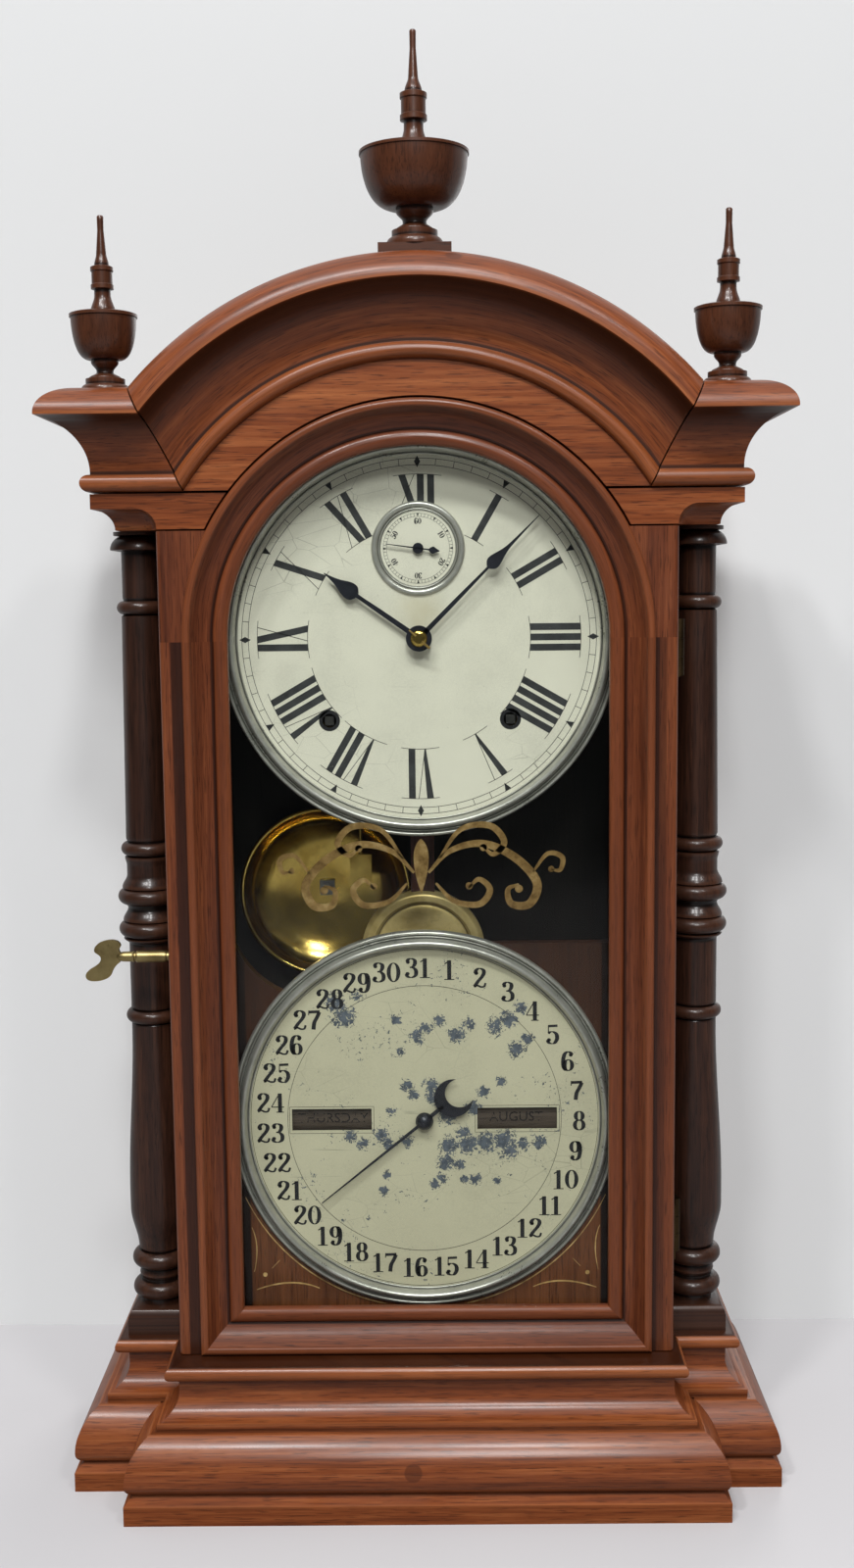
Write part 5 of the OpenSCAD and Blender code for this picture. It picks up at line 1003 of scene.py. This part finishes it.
INNER_R, OUTER_R, UNDER_RING_R, WIND_R = 62.0, 90.0, 72.5, 4.0
chapter, hairlines, hole_shade_rings = Shape(), Shape(), Shape()
on_time, on_calendar, on_board = (film(node) for node in ("time_dial", "calendar_dial", "calendar_board"))
for hour, numeral in enumerate("XII I II III IIII V VI VII VIII IX X XI".split()):
    thick, thin, total = chapter_strokes(numeral)
    inner_r = INNER_R if hour else UNDER_RING_R
    for outlines, target in ((thick, chapter), (thin, hairlines)):
        for outline in outlines:
            x, share = np.array(outline).T
            edge = inner_r + (OUTER_R - inner_r) * share
            p = grid(x, np.sqrt(edge ** 2 - x ** 2))
            target.slab(on_dial(p, 30 * hour, SPRING_Z), *on_time)
    for r in (INNER_R, OUTER_R) if hour else (OUTER_R,):
        half = math.degrees((total / 2 + 3.2) / r)
        serif = arc(0, 0, r, 90 - half, 90 + half, 12)
        hairlines.ribbon(on_dial(serif, 30 * hour, SPRING_Z), 0.32, *on_time)


def track(inner, outer, line, half, centre_z, n):
    """Two hairline circles with sixty short lines between them."""
    for r in (inner, outer):
        hairlines.ribbon(disc(r, 0, centre_z, n), line, *on_time, closed=True)
    for minute in range(60):
        tick = [(-half, inner), (half, inner), (half, outer), (-half, outer)]
        hairlines.slab(on_dial(tick, 6 * minute, centre_z), *on_time)


track(95.0, 98.6, 0.3, 0.16, SPRING_Z, 240)
track(17.4, 19.2, 0.16, 0.1, SECONDS_Z, 120)
diamond = [(0, 93.6), (1.7, 96.8), (0, 100.0), (-1.7, 96.8)]
wedge = [(0, 94.0), (1.8, 98.4), (-1.8, 98.4)]
for mark in range(12):
    chapter.slab(on_dial(wedge if mark % 3 else diamond, 30 * mark, SPRING_Z), *on_time)

# Figures: each is a few strokes, swollen where they run upright, as a broad pen makes them.
FIGURES = {
    "0": [("ring", (0.31, 0.5, 0.20, 0.46))],
    "1": [("bar", (0.31, 0.97), (0.31, 0.02), 0.2), ("bar", (0.36, 0.965), (0.12, 0.80), 0.06),
          ("bar", (0.10, 0.02), (0.52, 0.02), 0.045)],
    "2": [("pen", (0.13, 0.72), (0.17, 0.88), (0.30, 0.97), (0.45, 0.89), (0.48, 0.74), (0.40, 0.55),
           (0.23, 0.31), (0.09, 0.07)),
          ("wave", (0.07, 0.05), (0.20, 0.12), (0.36, 0.05), (0.49, 0.07), (0.55, 0.24)),
          ("ball", (0.165, 0.73, 0.085))],
    "3": [("pen", (0.13, 0.80), (0.18, 0.92), (0.29, 0.97), (0.43, 0.89), (0.45, 0.73), (0.37, 0.58),
           (0.24, 0.53)),
          ("pen", (0.24, 0.53), (0.39, 0.50), (0.49, 0.36), (0.47, 0.14), (0.31, 0.03), (0.15, 0.08),
           (0.10, 0.22)),
          ("ball", (0.16, 0.79, 0.08)), ("ball", (0.14, 0.22, 0.085))],
    "4": [("bar", (0.40, 0.97), (0.40, 0.02), 0.2), ("bar", (0.24, 0.02), (0.56, 0.02), 0.045),
          ("bar", (0.38, 0.97), (0.05, 0.30), 0.05), ("bar", (0.04, 0.28), (0.57, 0.28), 0.05)],
    "5": [("bar", (0.12, 0.91), (0.50, 0.93), 0.12), ("bar", (0.13, 0.96), (0.12, 0.54), 0.05),
          ("pen", (0.12, 0.55), (0.22, 0.62), (0.34, 0.61), (0.46, 0.49), (0.48, 0.27), (0.38, 0.07),
           (0.26, 0.03), (0.14, 0.09), (0.10, 0.22)), ("ball", (0.145, 0.22, 0.085))],
    "6": [("pen", (0.47, 0.80), (0.42, 0.92), (0.31, 0.97), (0.18, 0.85), (0.12, 0.55), (0.13, 0.25),
           (0.20, 0.08), (0.31, 0.03)), ("ring", (0.335, 0.30, 0.155, 0.27)), ("ball", (0.435, 0.81, 0.08))],
    "7": [("bar", (0.08, 0.90), (0.54, 0.92), 0.14), ("bar", (0.09, 0.98), (0.08, 0.74), 0.05),
          ("pen", (0.53, 0.90), (0.42, 0.62), (0.31, 0.36), (0.27, 0.02))],
    "8": [("ring", (0.31, 0.74, 0.145, 0.225)), ("ring", (0.31, 0.28, 0.18, 0.25))],
}
FIGURES["9"] = [(kind, *[(0.62 - p[0], 1 - p[1], *p[2:]) for p in points]) for kind, *points in FIGURES["6"]]


def pen_width(path, thick, thin):
    """Stroke width from direction: thin along the level, thick where the pen runs upright."""
    way = np.gradient(path, axis=0)
    steep = np.abs(way[:, 1]) / (np.linalg.norm(way, axis=1) + 1e-9)
    return thin + (thick - thin) * steep ** 1.5


def figure(shape, digit, put, height, depths, thick=0.2, thin=0.045):
    """Adds one digit; put() takes its points, in parts of the height, to the dial."""
    for kind, *given in FIGURES[digit]:
        if kind == "ring":
            x, y, rx, ry = given[0]
            t = np.linspace(0, 2 * np.pi, 48, endpoint=False)
            path = grid(x + rx * np.cos(t), y + ry * np.sin(t))
            width = thin + (thick - thin) * np.abs(np.cos(t)) ** 1.5
            shape.ribbon(put(path), width * height, *depths, closed=True)
        elif kind == "ball":
            shape.slab(put(disc(given[0][2], *given[0][:2], 24)), *depths)
        elif kind == "bar":
            shape.ribbon(put(np.array(given[:2])), np.array([given[2]] * 2) * height, *depths)
        else:
            path = through(given, 8)
            broad, narrow = (thick, thin) if kind == "pen" else (0.55 * thick, 1.8 * thin)
            shape.ribbon(put(path), pen_width(path, broad, narrow) * height, *depths)


def number(shape, value, around, r, angle, height, depths, turn=0.0, weight=0.2, wide=1.0):
    """Lays the digits of a number side by side, upright or turned, on a circle about (0, around)."""
    x, z = r * math.sin(math.radians(angle)), around + r * math.cos(math.radians(angle))
    size = height * np.array([wide, 1])
    steps = [0.50 if digit == "1" else 0.60 for digit in str(value)]
    at = -sum(steps) / 2
    for digit, step in zip(str(value), steps):
        shift = np.array([at - (0.62 - step) / 2, -0.5])
        figure(shape, digit, lambda p, s=shift: on_dial((p + s) * size, turn, z, x), height, depths, weight)
        at += step


for value in range(10, 70, 10):
    number(chapter, value, SECONDS_Z, 15.0, 6 * value, 3.3, on_time, 6 * value, 0.22)
for mark in range(12):
    chapter.slab(on_dial([(0, 17.2), (0.7, 19.3), (-0.7, 19.3)], 30 * mark, SECONDS_Z), *on_time)
# Black rings round the winding holes: painted shade of the holes.
for arbor in ("time_arbor", "strike_arbor"):
    x, _, z = middle_of(arbor)
    hole_shade_rings.ribbon(disc(WIND_R + 0.9, x, z, 48), 2.0, *on_time, closed=True)
lay("hour_numerals", chapter, numeral_ink, "case")
lay("winding_hole_shade_rings", hole_shade_rings, date_ink, "case")
lay("dial_hairlines", hairlines, line_ink, "case")

DATE_R, DATE_H, DATE_LEAD, WINDOW_X = 89.3, 11.7, 1.9, 53.5
dates, date_lines = Shape(), Shape()
for day in range(1, 32):
    number(dates, day, CAL_Z, DATE_R, day * 360 / 31 - DATE_LEAD, DATE_H, on_calendar, wide=1.18)
for r in (78.9, 100.2):
    date_lines.ribbon(disc(r, 0, CAL_Z, 240), 0.28, *on_calendar, closed=True)
for x in (-WINDOW_X, WINDOW_X):
    corners = np.array([*SQUARE, SQUARE[0]]) * (24.3, 7.9) + (x, CAL_Z)
    for i in range(4):
        date_lines.ribbon(corners[i:i + 2], 0.25 * np.ones(2), *on_calendar)
lay("date_numerals", dates, date_ink, "case")
lay("calendar_hairlines", date_lines, line_ink, "case")

# Gilt lines in the corners of the calendar board, and a scroll on the back of the glass.


def bowed(first, middle, last, n=20):
    """A curve through three points as a parabola."""
    t = np.linspace(0, 1, n)[:, None]
    first, middle, last = (np.asarray(p, float) for p in (first, middle, last))
    bend = 2 * middle - (first + last) / 2
    return (1 - t) ** 2 * first + 2 * t * (1 - t) * bend + t ** 2 * last


stripes = Shape()
STRIPES = ((arc(0, 0, 114.6, -24, -78, 60), 0.75), (bowed((99.5, -103), (79.7, -98.9), (62.5, -102.4)), 0.95),
           (bowed((101.5, -65), (98.9, -77), (100.6, -92)), 0.6),
           (np.array([(90.2, -89.9), (85.6, -85.1)]), 0.6))
for side in (1, -1):
    for path, width in STRIPES:
        taper = np.sin(np.pi * np.linspace(0.06, 0.94, len(path))) ** 0.5
        stripes.ribbon(path * (side, 1) + (0, CAL_Z), width * taper, *on_board)
    stripes.slab(disc(1.3, 94.3 * side, CAL_Z - 93.8, 20), *on_board)
lay("board_pinstripes", stripes, pale_gold, "case")

scroll = Shape()
SCROLL_Z = CAL_Z + 150
glass_rear = span("door_glass")[1][1] - DOOR_FRONT
on_glass = (glass_rear - 0.02, glass_rear + 0.1)
curls = (
    ([(4, -2), (16, 10), (34, 14), (52, 6), (64, -8), (60, -20), (50, -20), (48, -12), (54, -9)], 4.4),
    ([(10, 6), (22, 22), (38, 24), (46, 15), (40, 8), (34, 13)], 3.2),
    ([(8, -8), (18, -18), (32, -20), (38, -12), (32, -6), (26, -11)], 3.2),
    ([(62, -2), (70, 8), (78, 6), (77, -1), (72, -1)], 2.4),
)
for side in (1, -1):
    for points, width in curls:
        path = through(points, 12)
        swell = np.sin(np.pi * np.linspace(0.05, 0.97, len(path))) ** 0.8
        scroll.ribbon(path * (side, 1) + (0, SCROLL_Z), 0.5 + width * swell, *on_glass)
    for x, z, r in ((54, -11.5, 2.2), (34.5, 11.8, 2.0), (26.5, -9.6, 2.0), (72, -0.6, 1.7)):
        scroll.slab(disc(r, side * x, SCROLL_Z + z, 24), *on_glass)
leaf = join(bowed((0, 17), (4.2, 6), (0, -14)), bowed((0, -14), (-4.2, 6), (0, 17))[1:-1])
scroll.slab(leaf + (0, SCROLL_Z), *on_glass)
lay("gilt_glass_scroll", scroll, gold, "door")

# Roller words, wrapped round each roller.


def roller_words(words, node, body, height, name):
    """Each word's flat outline becomes a mesh and is bent round the roller: height turns to angle."""
    x, y, z = middle_of(node)
    radius = np.ptp(span(node), 0)[2] / 2
    outside = radius + 0.05
    shape = Shape()
    for i, word in enumerate(words):
        text = bpy.data.curves.new("word", "FONT")
        text.body, text.align_x, text.align_y, text.size = word, "CENTER", "CENTER", height
        text.resolution_u = 3
        holder = bpy.data.objects.new("word", text)
        flat = holder.to_mesh()
        points = np.empty(len(flat.vertices) * 3)
        flat.vertices.foreach_get("co", points)
        points = points.reshape(-1, 3)
        faces = [list(p.vertices) for p in flat.polygons]
        holder.to_mesh_clear()
        bpy.data.objects.remove(holder)
        bpy.data.curves.remove(text)
        a = points[:, 1] / radius + 2 * np.pi * i / len(words)
        fit = min(1.0, 42.0 / np.ptp(points[:, 0]))
        bent = grid(x + points[:, 0] * fit, y - outside * np.cos(a), z + outside * np.sin(a))
        shape.faces += [[v + shape.count for v in f] for f in faces]
        shape.points.append(bent)
        shape.grain.append(bent)
        shape.hollow.append(np.zeros(len(bent)))
        shape.count += len(bent)
    lay(name, shape, word_ink, body)


DAYS = "THURSDAY FRIDAY SATURDAY SUNDAY MONDAY TUESDAY WEDNESDAY".split()
MONTHS = ("AUGUST SEPTEMBER OCTOBER NOVEMBER DECEMBER JANUARY FEBRUARY MARCH APRIL MAY "
          "JUNE JULY").split()
roller_words(DAYS, "day_roller", "weekday", 8.0, "weekday_words")
roller_words(MONTHS, "month_roller", "month", 8.0, "month_words")

# Solids that keep their shape take a finish by name.
KEPT = {
    level_wood: "frieze_left frieze_right arch_panel",
    upright_wood: "case_side_left case_side_right",
    stained_board: "back_board",
    roof_wood: "roof_board",
    brown_board: "calendar_board",
    time_enamel: "time_dial",
    calendar_enamel: "calendar_dial",
    roller_paper: "day_roller month_roller",
    rod_wood: "pendulum_rod",
    glass: "door_glass",
    steel: "latch_keeper bell_post verge",
    arbor_steel: "time_arbor strike_arbor",
    bright_brass: "centre_arbor rating_nut hammer",
    tarnished_brass: "case_hinge_leaves door_hinge_leaves",
    dull_brass: "calendar_frame front_plate back_plate movement_pillars "
                "centre_wheel hour_wheel minute_wheel escape_wheel third_wheel second_wheel time_great_wheel",
}
for finish, names in KEPT.items():
    for name in names.split():
        for holder in NODES[name].material_slots:
            holder.material = finish

# Stage: a pale wall close behind, a pale floor, lamps in front and above, a weak soft room, the camera.
WALL_DEPTH, WALL_X, WALL_H, FLOOR_X, FLOOR_REACH = 214, 3000, 3200, 4000, 2600


def plain(name, colour, grainy, unseen=1.0, top=1.0, one_sided=False, reach=None):
    """Matt pale paint with a faint unevenness, dimmer towards the top and to all but the camera.

    One sided paint is clear from behind, and paint with a reach fades away at that distance. The
    paler foot and the darkening towards the top are painted light and painted shade.
    """
    paint = Paint(name, Roughness=0.9, Specular_IOR_Level=0.1)
    cloud = paint.noise(paint.place(), grainy, 3)
    pale = paint.ramp(cloud, (0.3, shade(colour, 0.97)), (0.7, colour))
    # Painted light and shade: paler low down, darker up the wall towards the lamps, which light the top more.
    pale = paint.tint(paint.rise(paint.axis(2), 0.0, 0.95), pale, shade(colour, top))
    pale = paint.tint(paint.rise(paint.axis(2), 0.9, 2.4), pale, shade(colour, 0.3))
    seen = paint.node("LightPath", out="Is Camera Ray")
    if one_sided or reach:
        clear = paint.node("BsdfTransparent")
        front = Value(paint, paint.surface.outputs[0])
        if one_sided:
            gone = paint.node("NewGeometry", out="Backfacing")
        else:
            gone = paint.rise(paint.near(paint.place(), 0, 0, 0, reach), 0.3, 0.0)
        paint.finish(paint.node("MixShader", {}, {0: gone, 1: front, 2: clear}))
    return paint.done(Base_Color=paint.tint(seen, shade(colour, unseen), pale))


def sheet(name, corners, finish):
    """One flat stage panel from four corners in millimetres."""
    mesh = bpy.data.meshes.new(name)
    mesh.from_pydata((np.array(corners, float) * MM).tolist(), [], [(0, 1, 2, 3)])
    mesh.materials.append(finish)
    panel = bpy.data.objects.new(name, mesh)
    bpy.context.scene.collection.objects.link(panel)
    return panel


wall_y = back(WALL_DEPTH)
sheet("floor", [(x * FLOOR_X, y * FLOOR_X, 0) for x, y in SQUARE],
      plain("pale_floor", (0.60, 0.59, 0.605), 3, unseen=0.5, reach=FLOOR_REACH))
wall = sheet("wall", [(x * WALL_X, wall_y, (y + 1) / 2 * WALL_H) for x, y in SQUARE],
             plain("pale_wall", (0.86, 0.87, 0.875), 2, unseen=0.55, top=0.73, one_sided=True))
wall.visible_shadow = False


def stand(thing, right, up, rear, place):
    """Puts a lamp or the camera at a place in metres, with the ways its axes point."""
    bpy.context.scene.collection.objects.link(thing)
    turn = np.eye(4)
    turn[:3] = np.stack([right, up, rear, place], 1)
    thing.matrix_world = Matrix(turn.tolist())


def lamp(name, place, target, size, power):
    """A square soft light at a place in metres, turned to a target."""
    data = bpy.data.lights.new(name, "AREA")
    data.shape, data.size, data.energy = "SQUARE", size, power
    place, target = np.array(place), np.array(target)
    ahead = (target - place) / np.linalg.norm(target - place)
    right = np.cross(ahead, (0, 0, 1))
    right /= np.linalg.norm(right)
    stand(bpy.data.objects.new(name, data), right, np.cross(right, ahead), -ahead, place)


CLOCK = (0, 0, 0.42)
lamp("left_lamp", (-0.89, -1.52, 2.52), CLOCK, 0.24, 19)
lamp("middle_lamp", (-0.41, -1.71, 2.54), CLOCK, 0.24, 19)
lamp("right_lamp", (0.17, -1.79, 2.43), CLOCK, 0.24, 19)
lamp("far_right_lamp", (1.05, -1.6, 2.4), CLOCK, 0.3, 10)
lamp("ceiling_panel", (0, -0.75, 2.9), (0, -0.35, 0), 2.2, 14)
lamp("front_fill", (0.15, -3.0, 2.35), CLOCK, 0.6, 40)
lamp("rear_fill", (0.9, 2.3, 1.0), CLOCK, 1.0, 22)
ROOM, ROOM_SEEN = 0.09, 0.8
world = bpy.data.worlds.new("soft_room")
world.use_nodes = True
room = world.node_tree.nodes["Background"].inputs
room["Color"].default_value = (0.98, 0.99, 1.0, 1)
rays = world.node_tree.nodes.new("ShaderNodeLightPath").outputs["Is Camera Ray"]
level = world.node_tree.nodes.new("ShaderNodeMapRange")
level.inputs["To Min"].default_value = ROOM
level.inputs["To Max"].default_value = ROOM_SEEN
world.node_tree.links.new(rays, level.inputs["Value"])
world.node_tree.links.new(level.outputs[0], room["Strength"])
bpy.context.scene.world = world

YAW, PITCH, ROLL = (math.radians(v) for v in (-0.418, 6.765, 0.621))
EYE = np.array([10.17, back(-871.4), 508.68]) * MM
camera_data = bpy.data.cameras.new("photo_camera")
camera_data.sensor_width, camera_data.sensor_fit, camera_data.lens = 36.0, "AUTO", 37.23
camera_data.clip_start = 0.01
camera = bpy.data.objects.new("photo_camera", camera_data)
ahead = np.array([math.sin(YAW), math.cos(YAW), 0.0])
right, down = np.array([math.cos(YAW), -math.sin(YAW), 0.0]), np.array([0, 0, -1.0])
forward = ahead * math.cos(PITCH) + down * math.sin(PITCH)
below = down * math.cos(PITCH) - ahead * math.sin(PITCH)
across = right * math.cos(ROLL) + below * math.sin(ROLL)
stand(camera, across, right * math.sin(ROLL) - below * math.cos(ROLL), -forward, EYE)
bpy.context.scene.camera = camera
bpy.context.scene.view_settings.view_transform = "Standard"
